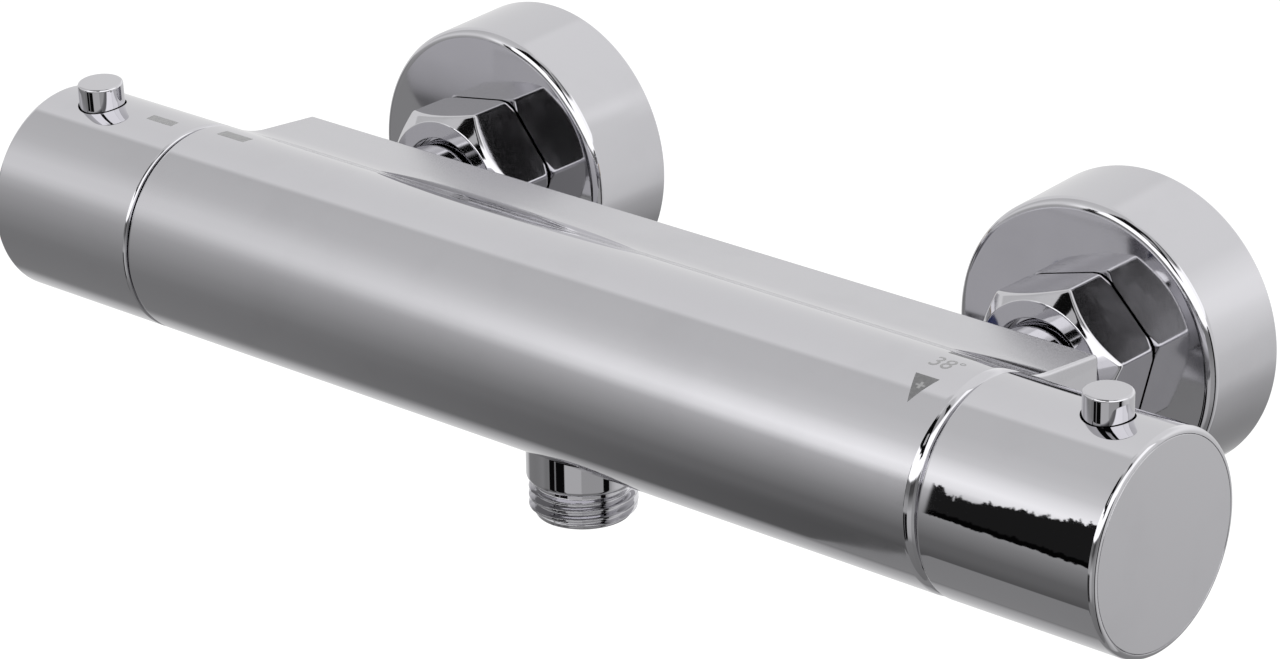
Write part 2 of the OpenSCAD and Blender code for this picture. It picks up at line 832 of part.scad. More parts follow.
// Drawn at the length that it has at the cold stop
module return_spring() {
    from = sleeve_from + sleeve_lip;
    color(steel) on_bar() translate([0, 0, from])
        coil(return_coil_r, spring_wire_d, return_turns, hub_from - return_squeeze - from);
}

// Ring that opens one row of windows as it shuts the other, with a hub for the wax element
module regulator_slide() {
    inner_r = slide_r - slide_wall;
    color(brass) on_bar() difference() {
        union() {
            ring(slide_r, inner_r, slide_from, slide_to);
            rod(wax_d / 2 + hub_wall, hub_from, hub_to);
            for (a = cross_turn)
                rotate(a) bar(2 * inner_r + slide_wall, spoke_width, hub_from, hub_to);
        }
        bore(wax_d / 2 + seal_gap, hub_from, hub_to);
        seal_groove(sleeve_bore_r, sleeve_ring_at[1]);
    }
}

module slide_o_ring() {
    color(rubber) on_bar() seal_ring(sleeve_bore_r, sleeve_ring_at[1]);
}

module wax_element() {
    color(brass) on_bar() {
        rod(wax_d / 2, wax_from, hub_to);
        rod(wax_d / 2 + wax_collar_rise, hub_to, wax_collar_to);
        rod(wax_piston_d / 2, wax_collar_to, plate_from);
    }
}

// Cup with two keys that slides without turning, and the thread for the spindle
module temperature_adjuster() {
    color(plastic) on_bar() difference() {
        union() {
            rod(adjuster_r, adjuster_from, adjuster_to);
            bar(
                2 * (sleeve_bore_r + key_depth), key_width,
                overload_to - set_gap, adjuster_to - set_gap
            );
        }
        rod(adjuster_bore_r, plate_from, overload_to);
        bore(adjuster_bore_r - adjuster_rim, adjuster_from, plate_from - overrun);
        bore(adjust_d / 2 + running_gap, overload_to, adjuster_to);
    }
}

module overload_plate() {
    color(steel) on_bar() rod(adjuster_bore_r - set_gap, plate_from, plate_to);
}

module overload_spring() {
    color(steel) on_bar() translate([0, 0, plate_to])
        coil(overload_coil_r, spring_wire_d, overload_turns, overload_to - plate_to);
}

// Spindle end from the bearing to the splines, with the thread for the knob screw
module spindle_end(bearing_from) {
    rod(spindle_d / 2, bearing_from, spline_from);
    translate([0, 0, spline_from]) linear_extrude(spline_to - spline_from) spline_outline(0);
}

module spindle_screw_hole() {
    rod(screw_d / 2 + seal_gap, insert_to - screw_length - overrun, spline_to + overrun);
}

module temperature_spindle() {
    color(brass) on_bar() difference() {
        union() {
            rod(adjust_d / 2, screwed_tip_from, collar_from);
            rod(collar_r, collar_from, collar_to);
            spindle_end(collar_to);
        }
        seal_groove(spindle_d / 2 + running_gap, spindle_ring_at);
        spindle_screw_hole();
    }
}

module temperature_spindle_o_ring() {
    color(rubber) on_bar() seal_ring(spindle_d / 2 + running_gap, spindle_ring_at);
}

// Ring on the neck of a retaining part: two stops for the lug, one catch for the latch
module stop_ring(stops, catch) {
    difference() {
        union() {
            rod(stop_ring_r, retaining_to, neck_to);
            for (a = stops)
                rotate(a) translate([stop_inner_r, -stop_width / 2, retaining_to])
                    cube([stop_outer_r - stop_inner_r, stop_width, neck_to + stop_height - retaining_to]);
            rotate(catch) translate([catch_inner_r, -catch_width / 2, retaining_to])
                cube([stop_ring_r - catch_inner_r - set_gap, catch_width, neck_to + catch_lift - retaining_to]);
        }
        bore(neck_d / 2 + seal_gap, retaining_to, neck_to);
    }
}

module temperature_stop_ring() {
    color(plastic) on_bar()
        stop_ring([hot_turn + stop_meet, -cold_turn - stop_meet], 180 + catch_meet);
}

// Shell of a knob: drawn tube with a small inner rim and a rounded outer rim
module knob_shell() {
    difference() {
        rotate_extrude() difference() {
            union() {
                translate([0, knob_from + knob_rim])
                    square([body_r, knob_length - knob_rim - knob_edge]);
                translate([0, knob_from]) square([body_r - knob_rim, knob_length - knob_edge]);
                translate([0, knob_from]) square([body_r - knob_edge, knob_length]);
                translate([body_r - knob_rim, knob_from + knob_rim]) circle(r = knob_rim);
                translate([body_r - knob_edge, knob_to - knob_edge]) circle(r = knob_edge);
            }
            translate([0, knob_from - overrun]) square([knob_bore_r, knob_length + 2 * overrun]);
            translate([0, cap_from]) square([cap_r + seal_gap, cap_thickness + overrun]);
        }
        at_button() rod(button_hole_r, 0, body_r + overrun);
    }
}

// Flush end cap with a rim that snaps into the shell
module knob_cap() {
    rod(cap_r, cap_from, knob_to);
    ring(cap_plug_r, cap_plug_r - cap_plug_wall, cap_from - cap_plug, cap_from);
}

// Moulded insert: splined hub, floor, wall, ribs, lug and the seat of the button spring
module knob_insert() {
    difference() {
        union() {
            rod(cap_plug_r, insert_from, insert_from + insert_floor);
            ring(cap_plug_r, cap_plug_r - insert_wall, insert_from, insert_to);
            rod(insert_hub_r, insert_from, insert_to);
            for (a = [45, 135, 225, 315])
                rotate(a) translate([0, -insert_rib / 2, insert_from])
                    cube([cap_plug_r - insert_wall / 2, insert_rib, insert_thickness]);
            translate([stop_inner_r, -stop_width / 2, neck_to + stop_lift])
                cube([stop_outer_r - stop_inner_r, stop_width, insert_from + insert_floor - neck_to - stop_lift]);
            translate([-seat_top, -seat_width / 2, insert_from])
                cube([seat_thickness, seat_width, button_at + seat_width / 2 - insert_from]);
        }
        translate([0, 0, insert_from - overrun])
            linear_extrude(insert_thickness - screw_web + overrun) spline_outline(set_gap);
        bore(screw_d / 2 + set_gap, insert_from, insert_to);
        translate([-body_r, -latch_width / 2 - moving_gap, insert_from - overrun])
            cube([
                body_r - foot_bottom + button_travel + moving_gap,
                latch_width + 2 * moving_gap,
                insert_thickness + 2 * overrun
            ]);
    }
}

module knob_screw() {
    difference() {
        union() {
            rod(screw_d / 2, insert_to - screw_length, insert_to);
            rod(screw_head_d / 2, insert_to, insert_to + screw_head_height);
        }
        translate([0, 0, insert_to + screw_head_height - screw_key_depth])
            cylinder(d = screw_key_af * 2 / sqrt(3), h = screw_key_depth + overrun, $fn = 6);
    }
}

// Button with its foot under the shell and the latch that meets the catch
module push_button() {
    at_button() {
        rotate_extrude() {
            translate([0, foot_bottom]) square([button_r, button_top - button_edge - foot_bottom]);
            translate([0, foot_bottom]) square([button_r - button_edge, button_top - foot_bottom]);
            translate([button_r - button_edge, button_top - button_edge]) circle(r = button_edge);
        }
        rod(foot_r, foot_bottom, foot_top);
        // The latch points back to the body
        translate([latch_to - button_at, -latch_width / 2, foot_bottom])
            cube([button_at - latch_to, latch_width, foot_thickness]);
    }
}

module button_spring() {
    at_button() translate([0, 0, seat_top])
        coil(button_coil_r, button_wire_d, button_spring_turns, foot_bottom - seat_top);
}

// Headwork of the shut-off: disc pocket, windows, thread, hex and bearing in one piece
module headwork_body() {
    color(brass) on_flow_end() difference() {
        union() {
            rod(headwork_r, headwork_from, headwork_thread_from);
            rod(headwork_thread_r, headwork_thread_from, body_half);
            translate([0, 0, body_half])
                cylinder(d = retaining_af * 2 / sqrt(3), h = retaining_height, $fn = 6);
            rod(neck_d / 2, retaining_to, neck_to);
        }
        rod(disc_pocket_r, headwork_from - overrun, headwork_hollow_to);
        bore(spindle_d / 2 + running_gap, headwork_from, neck_to);
        for (a = cross_turn)
            rotate(a) translate([0, 0, headwork_window_at])
                rotate([90, 0, 0])
                    cylinder(d = headwork_window_d, h = 2 * pocket_r, center = true);
        for (at = headwork_ring_at) seal_groove(headwork_pocket_d / 2, at);
    }
}

module headwork_o_rings() {
    color(rubber) on_flow_end() for (at = headwork_ring_at) seal_ring(headwork_pocket_d / 2, at);
}

module headwork_seat_seal() {
    color(rubber) on_flow_end() ring(disc_r, disc_r - seat_seal_wall, headwork_from, seat_seal_to);
}

// Two ports of a ceramic disc, each a sector of a ring
module disc_ports(from, to) {
    translate([0, 0, from - overrun]) linear_extrude(to - from + 2 * overrun)
        for (turn = [0, 180])
            rotate(turn) intersection() {
                difference() {
                    circle(r = disc_port_to_r);
                    circle(r = disc_port_from_r);
                }
                polygon([
                    [0, 0],
                    round_point(2 * disc_r, -disc_port_half),
                    round_point(2 * disc_r, disc_port_half)
                ]);
            }
}

module fixed_ceramic_disc() {
    color(plastic) on_flow_end() difference() {
        rod(disc_r, fixed_disc_from, fixed_disc_to);
        rotate(90) disc_ports(fixed_disc_from, fixed_disc_to);
    }
}

// The prongs of the spindle reach into two blind slots of the turning disc
module turning_ceramic_disc() {
    color(plastic) on_flow_end() difference() {
        rod(disc_r, turning_disc_from, turning_disc_to);
        disc_ports(turning_disc_from, turning_disc_to);
        driver_prongs(set_gap);
    }
}

module driver_prongs(room) {
    for (turn = [90, 270])
        rotate(turn) translate([prong_in - room, -prong_width / 2 - room, turning_disc_to - prong_depth - room])
            cube([prong_out - prong_in + 2 * room, prong_width + 2 * room, prong_depth + driver_thickness]);
}

module flow_spindle() {
    color(brass) difference() {
        union() {
            on_flow_end() {
                intersection() {
                    rod(disc_r, driver_from, driver_to);
                    rotate(90) bar(2 * pocket_r, driver_width, driver_from, driver_to);
                }
                driver_prongs(0);
            }
            on_flow_knob() {
                rod(thin_shaft_r, driver_from, flow_collar_to);
                rod(collar_r, flow_collar_to - collar_thickness, flow_collar_to);
                spindle_end(flow_collar_to);
            }
        }
        on_flow_knob() {
            seal_groove(spindle_d / 2 + running_gap, flow_ring_at);
            spindle_screw_hole();
        }
    }
}

module flow_spindle_o_ring() {
    color(rubber) on_flow_end() seal_ring(spindle_d / 2 + running_gap, flow_ring_at);
}

module flow_stop_ring() {
    color(plastic) on_flow_knob()
        stop_ring([stop_meet, -open_turn - stop_meet], 180 - economy_turn - catch_meet);
}

valve_body();
outlet_nipple();
outlet_o_ring();
inlet_tail(-1);  // inlet_tail_hot
inlet_tail(1);  // inlet_tail_cold
union_nut(-1, nut_turn_hot);  // union_nut_hot
union_nut(1, nut_turn_cold);  // union_nut_cold
inlet_seal(-1);  // inlet_seal_hot
inlet_seal(1);  // inlet_seal_cold
inlet_strainer(-1);  // inlet_strainer_hot
inlet_strainer(1);  // inlet_strainer_cold
check_valve(-1);  // check_valve_hot
check_valve(1);  // check_valve_cold
eccentric_union(-1);  // eccentric_union_hot
eccentric_union(1);  // eccentric_union_cold
rosette(-1);  // rosette_hot
rosette(1);  // rosette_cold
cartridge_sleeve();
cartridge_o_rings();
cartridge_nut();
return_spring();
regulator_slide();
slide_o_ring();
wax_element();
temperature_adjuster();
overload_plate();
overload_spring();
temperature_spindle();
temperature_spindle_o_ring();
temperature_stop_ring();
color(chrome) on_bar() knob_shell();  // temperature_knob
color(chrome) on_bar() knob_cap();  // temperature_knob_cap
color(plastic) on_bar() knob_insert();  // temperature_knob_insert
color(steel) on_bar() knob_screw();  // temperature_knob_screw
color(chrome) on_bar() push_button();  // temperature_button
color(steel) on_bar() button_spring();  // temperature_button_spring
headwork_body();
headwork_o_rings();
headwork_seat_seal();
fixed_ceramic_disc();
turning_ceramic_disc();
flow_spindle();
flow_spindle_o_ring();
flow_stop_ring();
color(chrome) on_flow_knob() knob_shell();  // flow_knob
color(chrome) on_flow_knob() knob_cap();  // flow_knob_cap
color(plastic) on_flow_knob() knob_insert();  // flow_knob_insert
color(steel) on_flow_knob() knob_screw();  // flow_knob_screw
color(chrome) on_flow_knob() push_button();  // flow_button
color(steel) on_flow_knob() button_spring();  // flow_button_spring
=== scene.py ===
import json
import math

import bmesh
import bpy
from mathutils import Matrix, Vector


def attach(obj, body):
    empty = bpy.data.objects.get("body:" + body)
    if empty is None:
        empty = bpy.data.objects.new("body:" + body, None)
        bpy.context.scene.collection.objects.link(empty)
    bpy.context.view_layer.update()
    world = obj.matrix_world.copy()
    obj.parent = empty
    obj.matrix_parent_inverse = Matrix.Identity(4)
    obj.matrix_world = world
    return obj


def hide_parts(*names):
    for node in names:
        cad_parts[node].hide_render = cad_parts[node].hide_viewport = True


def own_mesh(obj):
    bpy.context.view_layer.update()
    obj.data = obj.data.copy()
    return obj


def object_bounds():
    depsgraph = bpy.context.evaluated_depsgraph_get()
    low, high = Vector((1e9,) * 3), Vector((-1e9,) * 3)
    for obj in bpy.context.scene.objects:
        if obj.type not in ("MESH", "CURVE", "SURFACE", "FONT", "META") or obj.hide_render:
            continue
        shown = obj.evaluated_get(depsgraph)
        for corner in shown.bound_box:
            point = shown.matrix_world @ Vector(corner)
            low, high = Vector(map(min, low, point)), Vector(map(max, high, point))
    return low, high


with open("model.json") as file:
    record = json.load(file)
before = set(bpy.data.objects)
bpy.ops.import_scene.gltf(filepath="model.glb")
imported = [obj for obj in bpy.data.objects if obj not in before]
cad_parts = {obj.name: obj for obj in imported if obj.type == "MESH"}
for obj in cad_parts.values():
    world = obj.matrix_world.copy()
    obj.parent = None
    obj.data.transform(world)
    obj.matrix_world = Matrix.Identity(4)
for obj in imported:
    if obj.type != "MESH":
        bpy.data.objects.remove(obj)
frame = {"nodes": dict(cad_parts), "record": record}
cad_low, cad_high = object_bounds()


def linked(name, data):
    """A new object of this data in the scene."""
    thing = bpy.data.objects.new(name, data)
    bpy.context.scene.collection.objects.link(thing)
    return thing


# Camera. The photographer stood to the right of the valve and above it, with a long lens
# that keeps the bar nearly free of perspective.
photo_width = 1280
lens_in_pixels = 5096.84
camera_aim = Vector((0.01745, -0.08, 0.00354))
camera_distance = 0.94387
azimuth, elevation, roll = (math.radians(a) for a in (41.05, 22.91, -0.85))
back = Vector((
    math.sin(azimuth) * math.cos(elevation),
    -math.cos(azimuth) * math.cos(elevation),
    math.sin(elevation),
))
level = Vector((0, 0, 1)).cross(back).normalized()
upright = back.cross(level)
right = math.cos(roll) * level + math.sin(roll) * upright
up = math.cos(roll) * upright - math.sin(roll) * level
camera_data = bpy.data.cameras.new("studio_camera")
camera_data.lens = lens_in_pixels / photo_width * camera_data.sensor_width
camera_data.clip_start = 0.01
camera = linked("studio_camera", camera_data)
camera.matrix_world = (
    Matrix.Translation(camera_aim + camera_distance * back)
    @ Matrix((right, up, back)).transposed().to_4x4()
)
bpy.context.scene.camera = camera
bpy.context.scene.view_settings.view_transform = "Standard"


# Studio. A light tent stands round the valve: pale above and behind, with a grey sheet
# hung before it and a dark room beyond, which the polished metal reflects.
class Wire:
    """A socket of a node tree. Its operators add Math nodes, and add() adds any other node."""

    def __init__(self, tree, socket=None):
        self.tree, self.socket = tree, socket

    def add(self, kind, sockets=None, output=0, stops=None, **settings):
        node = self.tree.nodes.new(kind)
        for name, value in settings.items():
            setattr(node, name, value)
        if stops:
            ramp = node.color_ramp
            while len(ramp.elements) > 1:
                ramp.elements.remove(ramp.elements[-1])
            for place, (at, colour) in enumerate(stops):
                stop = ramp.elements[0] if place == 0 else ramp.elements.new(at)
                stop.position = at
                stop.color = (*colour, 1) if isinstance(colour, tuple) else (*[colour] * 3, 1)
        for key, value in (sockets or {}).items():
            if isinstance(value, Wire):
                self.tree.links.new(value.socket, node.inputs[key])
            else:
                node.inputs[key].default_value = value
        return Wire(self.tree, node.outputs[output] if node.outputs else None)

    def other(self, output):
        return Wire(self.tree, self.socket.node.outputs[output])

    def math(self, operation, first, second=None, third=None):
        given = {i: v for i, v in enumerate((first, second, third)) if v is not None}
        return self.add("ShaderNodeMath", given, operation=operation)

    def __add__(self, other):
        return self.math("ADD", self, other)

    __radd__ = __add__

    def __mul__(self, other):
        return self.math("MULTIPLY", self, other)

    __rmul__ = __mul__

    def __sub__(self, other):
        return self.math("SUBTRACT", self, other)

    def __rsub__(self, other):
        return self.math("SUBTRACT", other, self)

    def __truediv__(self, other):
        return self.math("DIVIDE", self, other)

    def __neg__(self):
        return self.math("MULTIPLY", self, -1.0)

    def noise(self, scale, detail, roughness=0.5):
        """Noise at this place."""
        return self.add("ShaderNodeTexNoise", {
            "Vector": self, "Scale": scale, "Detail": detail, "Roughness": roughness,
        })

    def bump(self):
        """A normal, from this height in metres."""
        return self.add("ShaderNodeBump", {"Height": self, "Distance": 1.0, "Strength": 1.0})

    def between(self, low, high):
        """0 below low, 1 above high, and smooth between them."""
        return self.add(
            "ShaderNodeMapRange", {0: self, 1: low, 2: high}, interpolation_type="SMOOTHSTEP"
        )


def blended(wire, share, first, second):
    """A colour mixed from first to second by share."""
    return wire.add("ShaderNodeMix", {0: share, 6: first, 7: second}, output=2, data_type="RGBA")


chrome_reflectance, set_strength = 0.61, 2.0


def set_tone(tone):
    """The brightness of the set that polished chrome shows as this grey, from 0 to 255."""
    grey = tone / 255
    linear = grey / 12.92 if grey <= 0.04045 else ((grey + 0.055) / 1.055) ** 2.4
    return linear / chrome_reflectance / set_strength


def set_grey(tone):
    """The same brightness, as a colour."""
    return (*[set_tone(tone)] * 3, 1)


def round_the_bar(degrees):
    """A ramp's place for a direction counted round the X axis: 0 is up, 90 is to the front."""
    return (degrees + 180) / 360


studio = bpy.data.worlds.new("studio")
bpy.context.scene.world = studio
studio.use_nodes = True
studio.node_tree.nodes.clear()
sky = Wire(studio.node_tree)
direction = sky.add("ShaderNodeTexCoord", output="Generated")
across = sky.add("ShaderNodeSeparateXYZ", {0: direction})
round_x = sky.math("ARCTAN2", -across.other("Y"), across.other("Z"))
turn = round_x / (2 * math.pi) + 0.5
left_tones = [
    (-180, 111), (-172, 111), (-168, 118), (-158, 152), (-148, 168), (-136, 176), (-126, 182),
    (-105, 190), (-33, 194), (-14, 197), (-9, 170), (18, 174), (28, 178), (38, 187), (47, 195),
    (60, 197), (67, 188), (76, 166), (86, 149), (95, 140), (113, 125), (133, 112), (143, 110),
    (179, 111),
]
right_tones = [
    (-180, 73), (-175, 73), (-171, 116), (-166, 143), (-155, 160), (-143, 175), (-126, 182),
    (-105, 190), (-33, 196), (-14, 199), (-9, 177), (20, 179), (36, 186), (45, 195), (55, 218),
    (65, 234), (73, 222), (82, 168), (92, 150), (111, 120), (130, 92), (139, 89), (149, 77),
    (159, 73), (179, 73),
]
gradients = [
    sky.add(
        "ShaderNodeValToRGB", {0: turn},
        stops=[(round_the_bar(a), set_tone(t)) for a, t in tones],
    )
    for tones in (left_tones, right_tones)
]
set_side = across.other("X").between(-0.69, -0.55)
tent = blended(sky, set_side, *gradients)
side_x, side_z = across.other("X"), across.other("Z")
facing = sky.math("ARCTAN2", side_x, -across.other("Y")) * (180 / math.pi)
rise = sky.math("ARCSINE", side_z) * (180 / math.pi)


def window(low_side, high_side, low, high, soft=0.6, edge=0.8):
    """1 in a panel of the set between two headings and two heights, in degrees."""
    across_it = facing.between(low_side - soft, low_side + soft) * (
        1 - facing.between(high_side - soft, high_side + soft)
    )
    up_it = rise.between(low - edge, low + edge) * (1 - rise.between(high - edge, high + edge))
    return across_it * up_it


def rise_tones(*stops):
    """A column of tones, by height in degrees above the horizon."""
    return sky.add(
        "ShaderNodeValToRGB", {0: rise / 180 + 0.5},
        stops=[(0.5 + e / 180, set_tone(t)) for e, t in stops],
    )


# In front, right of the grey sheet, a light box stands over a low wall, with the dark room
# above it, and a dark gap under it where the set ends.
front_left = rise_tones(
    (-90, 100), (-44, 112), (-41, 20), (-38, 8), (-18, 8), (-16, 150), (-5, 140), (1, 105),
    (11, 100), (13, 262), (41, 262), (43, 10), (72, 8), (79, 190),
)
front_middle = rise_tones(
    (-90, 100), (-44, 112), (-38, 152), (-16, 166), (-7, 120), (0, 70), (9, 60), (12, 110),
    (14, 262), (30, 262), (32, 8), (72, 8), (79, 190),
)
front_right = rise_tones(
    (-90, 100), (-44, 108), (-30, 140), (-16, 140), (0, 108), (10, 104),
    (13, 262), (50, 255), (54, 140), (76, 170),
)
front = blended(sky, facing.between(2.4, 4.0), front_left, front_middle)
for panel, tone in (
    ((3, 21, 30, 37.5), 262), ((2, 21, 46, 57), 165), ((-18.5, -15.5, -41, -17), 110),
):
    front = blended(sky, window(*panel), front, set_grey(tone))
front = blended(sky, facing.between(36.5, 38.5), front, front_right)
for panel, tone in (((82, 95, -60, 14), 6), ((80, 131, 55, 75), 30)):
    front = blended(sky, window(*panel), front, set_grey(tone))
front_sides = facing.between(-31.2, -30.0) * (1 - facing.between(96, 102))
below_tent = sky.math("MAXIMUM", side_x.between(-0.40, -0.36), 1 - rise.between(36, 40))
in_front = front_sides * below_tent
tent = blended(sky, in_front, tent, front)
behind = rise_tones(
    (-90, 110), (-42, 122), (-38, 135), (-31, 150), (-23, 176), (-10, 184), (2, 206), (10, 217),
    (18, 219), (26, 212), (33, 203), (60, 203), (90, 200),
)
tent = blended(sky, facing.between(134, 138) + (1 - facing.between(-156, -150)), tent, behind)
tent = blended(sky, window(100, 132, 18, 50), tent, set_grey(250))

# A ragged black strip where the grey sheet ends, and a pale board low down beside it. Both
# are placed in degrees round the bar, the strip with a slanted and frayed upper edge.
round_degrees = round_x * (180 / math.pi)
low_board = round_degrees.between(149.5, 151.0) + (1 - round_degrees.between(-173.0, -171.0))
board_side = (across.other("Y") * 0.0364 + side_x).between(-0.5655, -0.5645)
tent = blended(sky, low_board * board_side * (1 - in_front), tent, set_grey(119))
along_strip = sky.add("ShaderNodeCombineXYZ", {0: side_x * 900.0, 1: round_degrees * 0.08})
fray_reach, tooth_height = 24.0, 8.0
fray = (along_strip.noise(1.0, 5.0, 0.7) - 0.5) * fray_reach
tooth = (1 - side_x.between(-0.5506, -0.5500)) * tooth_height
strip_left, strip_slope, strip_high, strip_least = 0.549, -737.0, 80.5, 64.0
slanted_edge = (side_x + strip_left) * strip_slope + strip_high - tooth
strip_top = sky.math("MAXIMUM", slanted_edge, strip_least)
dark_strip = (
    side_x.between(-0.5530, -0.5522) * (1 - facing.between(-30.6, -30.0))
    * (round_degrees - strip_top + fray).between(-0.6, 0.6)
    * (1 - (round_degrees + fray * 0.35).between(104.6, 105.6))
)
strip_foot = (round_degrees + fray * 0.5).between(98.5, 100.5)
strip_tone = blended(sky, strip_foot, set_grey(24), (0.001, 0.001, 0.001, 1))
seen_in_metal = blended(sky, dark_strip, tent, strip_tone)
rays = sky.add("ShaderNodeLightPath", output="Is Glossy Ray")
set_light = sky.add("ShaderNodeBackground", {"Color": seen_in_metal, "Strength": set_strength})
room_light = sky.add("ShaderNodeBackground", {"Color": (1, 1, 1, 1), "Strength": 0.75})
white = sky.add("ShaderNodeBackground", {"Color": (1, 1, 1, 1), "Strength": 1.0})
seen_directly = sky.math("MAXIMUM", rays.other("Is Camera Ray"), rays.other("Is Transmission Ray"))
lit = sky.add("ShaderNodeMixShader", {0: rays, 1: room_light, 2: set_light})
shown = sky.add("ShaderNodeMixShader", {0: seen_directly, 1: lit, 2: white})
sky.add("ShaderNodeOutputWorld", {"Surface": shown})

lamp_data = bpy.data.lights.new("soft_box", "AREA")
lamp_data.shape = "RECTANGLE"
lamp_data.size, lamp_data.size_y = 1.4, 1.0
lamp_data.energy = 5.0
lamp = linked("soft_box", lamp_data)
lamp_place, valve_centre = Vector((-0.35, -0.55, 1.5)), Vector((0, -0.08, 0))
lamp.location = lamp_place
lamp.rotation_euler = (valve_centre - lamp_place).to_track_quat("-Z", "Y").to_euler()
lamp.visible_glossy = False

floor_drop, floor_reach = 0.15, 4.0
floor_mesh = bpy.data.meshes.new("studio_floor")
floor_corners = [
    (x * floor_reach, y * floor_reach, cad_low.z - floor_drop)
    for x, y in ((-1, -1), (1, -1), (1, 1), (-1, 1))
]
floor_mesh.from_pydata(floor_corners, [], [(0, 1, 2, 3)])
floor = linked("studio_floor", floor_mesh)


def blank_material(name):
    """A material without nodes, and a wire on its tree."""
    material = bpy.data.materials.new(name)
    material.use_nodes = True
    material.node_tree.nodes.clear()
    return material, Wire(material.node_tree)


floor_paint, paint = blank_material("floor_paint")
matt = paint.add("ShaderNodeBsdfDiffuse", {"Color": (0.93, 0.93, 0.93, 1)})
glow = paint.add("ShaderNodeEmission", {"Color": (1, 1, 1, 1), "Strength": 0.3})
both = paint.add("ShaderNodeAddShader", {0: matt, 1: glow})
direct = paint.add("ShaderNodeLightPath", output="Is Camera Ray")
floor_look = paint.add("ShaderNodeMixShader", {0: direct, 1: matt, 2: both})
paint.add("ShaderNodeOutputMaterial", {"Surface": floor_look})
floor_mesh.materials.append(floor_paint)
floor.visible_glossy = False

# Valve body. One brass casting, turned, polished and chrome plated: a round bar with a ledge
# behind it for the wall unions, and a boss under it for the shower hose.
MM = 0.001
axis_y, axis_z = -80.0, -5.0
bar_r, bar_half, bar_rim = 21.0, 98.0, 2.5
ledge_depth, ledge_height, ledge_fall, ledge_edge = 33.0, 14.2, math.radians(5.5), 1.2
valley_r = 20.0
ledge_rim = 0.7
left_rim_share = 0.45
rim_fade = math.radians(16)
inlet_at, outlet_y = 75.0, -77.0


def polished(form, cylinders=(), sharp=38):
    """Gives a bmesh smooth, area-weighted normals, which are exact on the named cylinders."""
    mesh = bpy.data.meshes.new("polishing")
    form.to_mesh(mesh)
    form.free()
    mesh.polygons.foreach_set("use_smooth", [True] * len(mesh.polygons))
    mesh.set_sharp_from_angle(angle=math.radians(sharp))
    holder = linked("polishing", mesh)
    weighted = holder.modifiers.new("weighted", "WEIGHTED_NORMAL")
    weighted.keep_sharp = True
    weighted.weight = 80
    bpy.context.view_layer.update()
    graph = bpy.context.evaluated_depsgraph_get()
    done = bpy.data.meshes.new_from_object(
        holder.evaluated_get(graph), preserve_all_data_layers=True, depsgraph=graph
    )
    bpy.data.objects.remove(holder)
    normals = [Vector(corner.vector) for corner in done.corner_normals]
    most_tilt, most_gap, least_match = 0.05, 2e-3, 0.99
    for centre, axis, radius in cylinders:
        for face in done.polygons:
            flat = Vector(face.normal)
            if abs(flat.dot(axis)) > most_tilt:
                continue
            for corner in face.loop_indices:
                spot = done.vertices[done.loops[corner].vertex_index].co - centre
                out = spot - spot.dot(axis) * axis
                match = out.normalized().dot(flat)
                if abs(out.length - radius) < most_gap and abs(match) > least_match:
                    normals[corner] = out.normalized() * math.copysign(1, match)
    done.normals_split_custom_set(normals)
    return done


def fitted(name, mesh, material, body, *nodes, slot=None):
    """Puts a finished mesh in millimetres on its body, in place of CAD nodes."""
    mesh.name = name
    mesh.transform(Matrix.Scale(MM, 4))
    mesh.materials.clear()
    mesh.materials.append(material)
    piece = linked(name, mesh)
    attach(piece, body)
    if nodes:
        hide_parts(*nodes)
    return piece


def evaluated_mesh(holder):
    """The mesh of an object after its modifiers."""
    bpy.context.view_layer.update()
    return bpy.data.meshes.new_from_object(
        holder.evaluated_get(bpy.context.evaluated_depsgraph_get())
    )


def joined(first, second, operation):
    """The union or difference of two closed bmeshes."""
    holders = []
    for form in (first, second):
        mesh = bpy.data.meshes.new("joining")
        form.to_mesh(mesh)
        form.free()
        holders.append(linked("joining", mesh))
    cut = holders[0].modifiers.new("cut", "BOOLEAN")
    cut.operation, cut.solver, cut.object = operation, "MANIFOLD", holders[1]
    mesh = evaluated_mesh(holders[0])
    for holder in holders:
        bpy.data.objects.remove(holder)
    result = bmesh.new()
    result.from_mesh(mesh)
    bmesh.ops.remove_doubles(result, verts=result.verts, dist=1e-5)
    return result


def rounded(corners, steps=7):
    """A profile's points from corners (radius, height, round), each rounded by an arc."""
    points = []
    count = len(corners)
    for i, (r, h, size) in enumerate(corners):
        here = Vector((r, h))
        if not size:
            points.append(here)
            continue
        to_last = (Vector(corners[i - 1][:2]) - here).normalized()
        to_next = (Vector(corners[(i + 1) % count][:2]) - here).normalized()
        half = to_last.angle(to_next) / 2
        reach = size / math.tan(half)
        centre = here + (to_last + to_next).normalized() * (size / math.sin(half))
        start, end = here + to_last * reach - centre, here + to_next * reach - centre
        sweep = start.angle_signed(end)
        points += [
            centre + Matrix.Rotation(-sweep * k / steps, 2) @ start for k in range(steps + 1)
        ]
    return points


def bridged(form, low, high):
    """Joins two rings of as many points by faces."""
    for k in range(len(low)):
        n = (k + 1) % len(low)
        form.faces.new((low[k], low[n], high[n], high[k]))


def faced_outwards(form):
    """Turns the faces of a closed form outwards."""
    bmesh.ops.recalc_face_normals(form, faces=form.faces)
    if form.calc_volume(signed=True) < 0:
        bmesh.ops.reverse_faces(form, faces=form.faces)


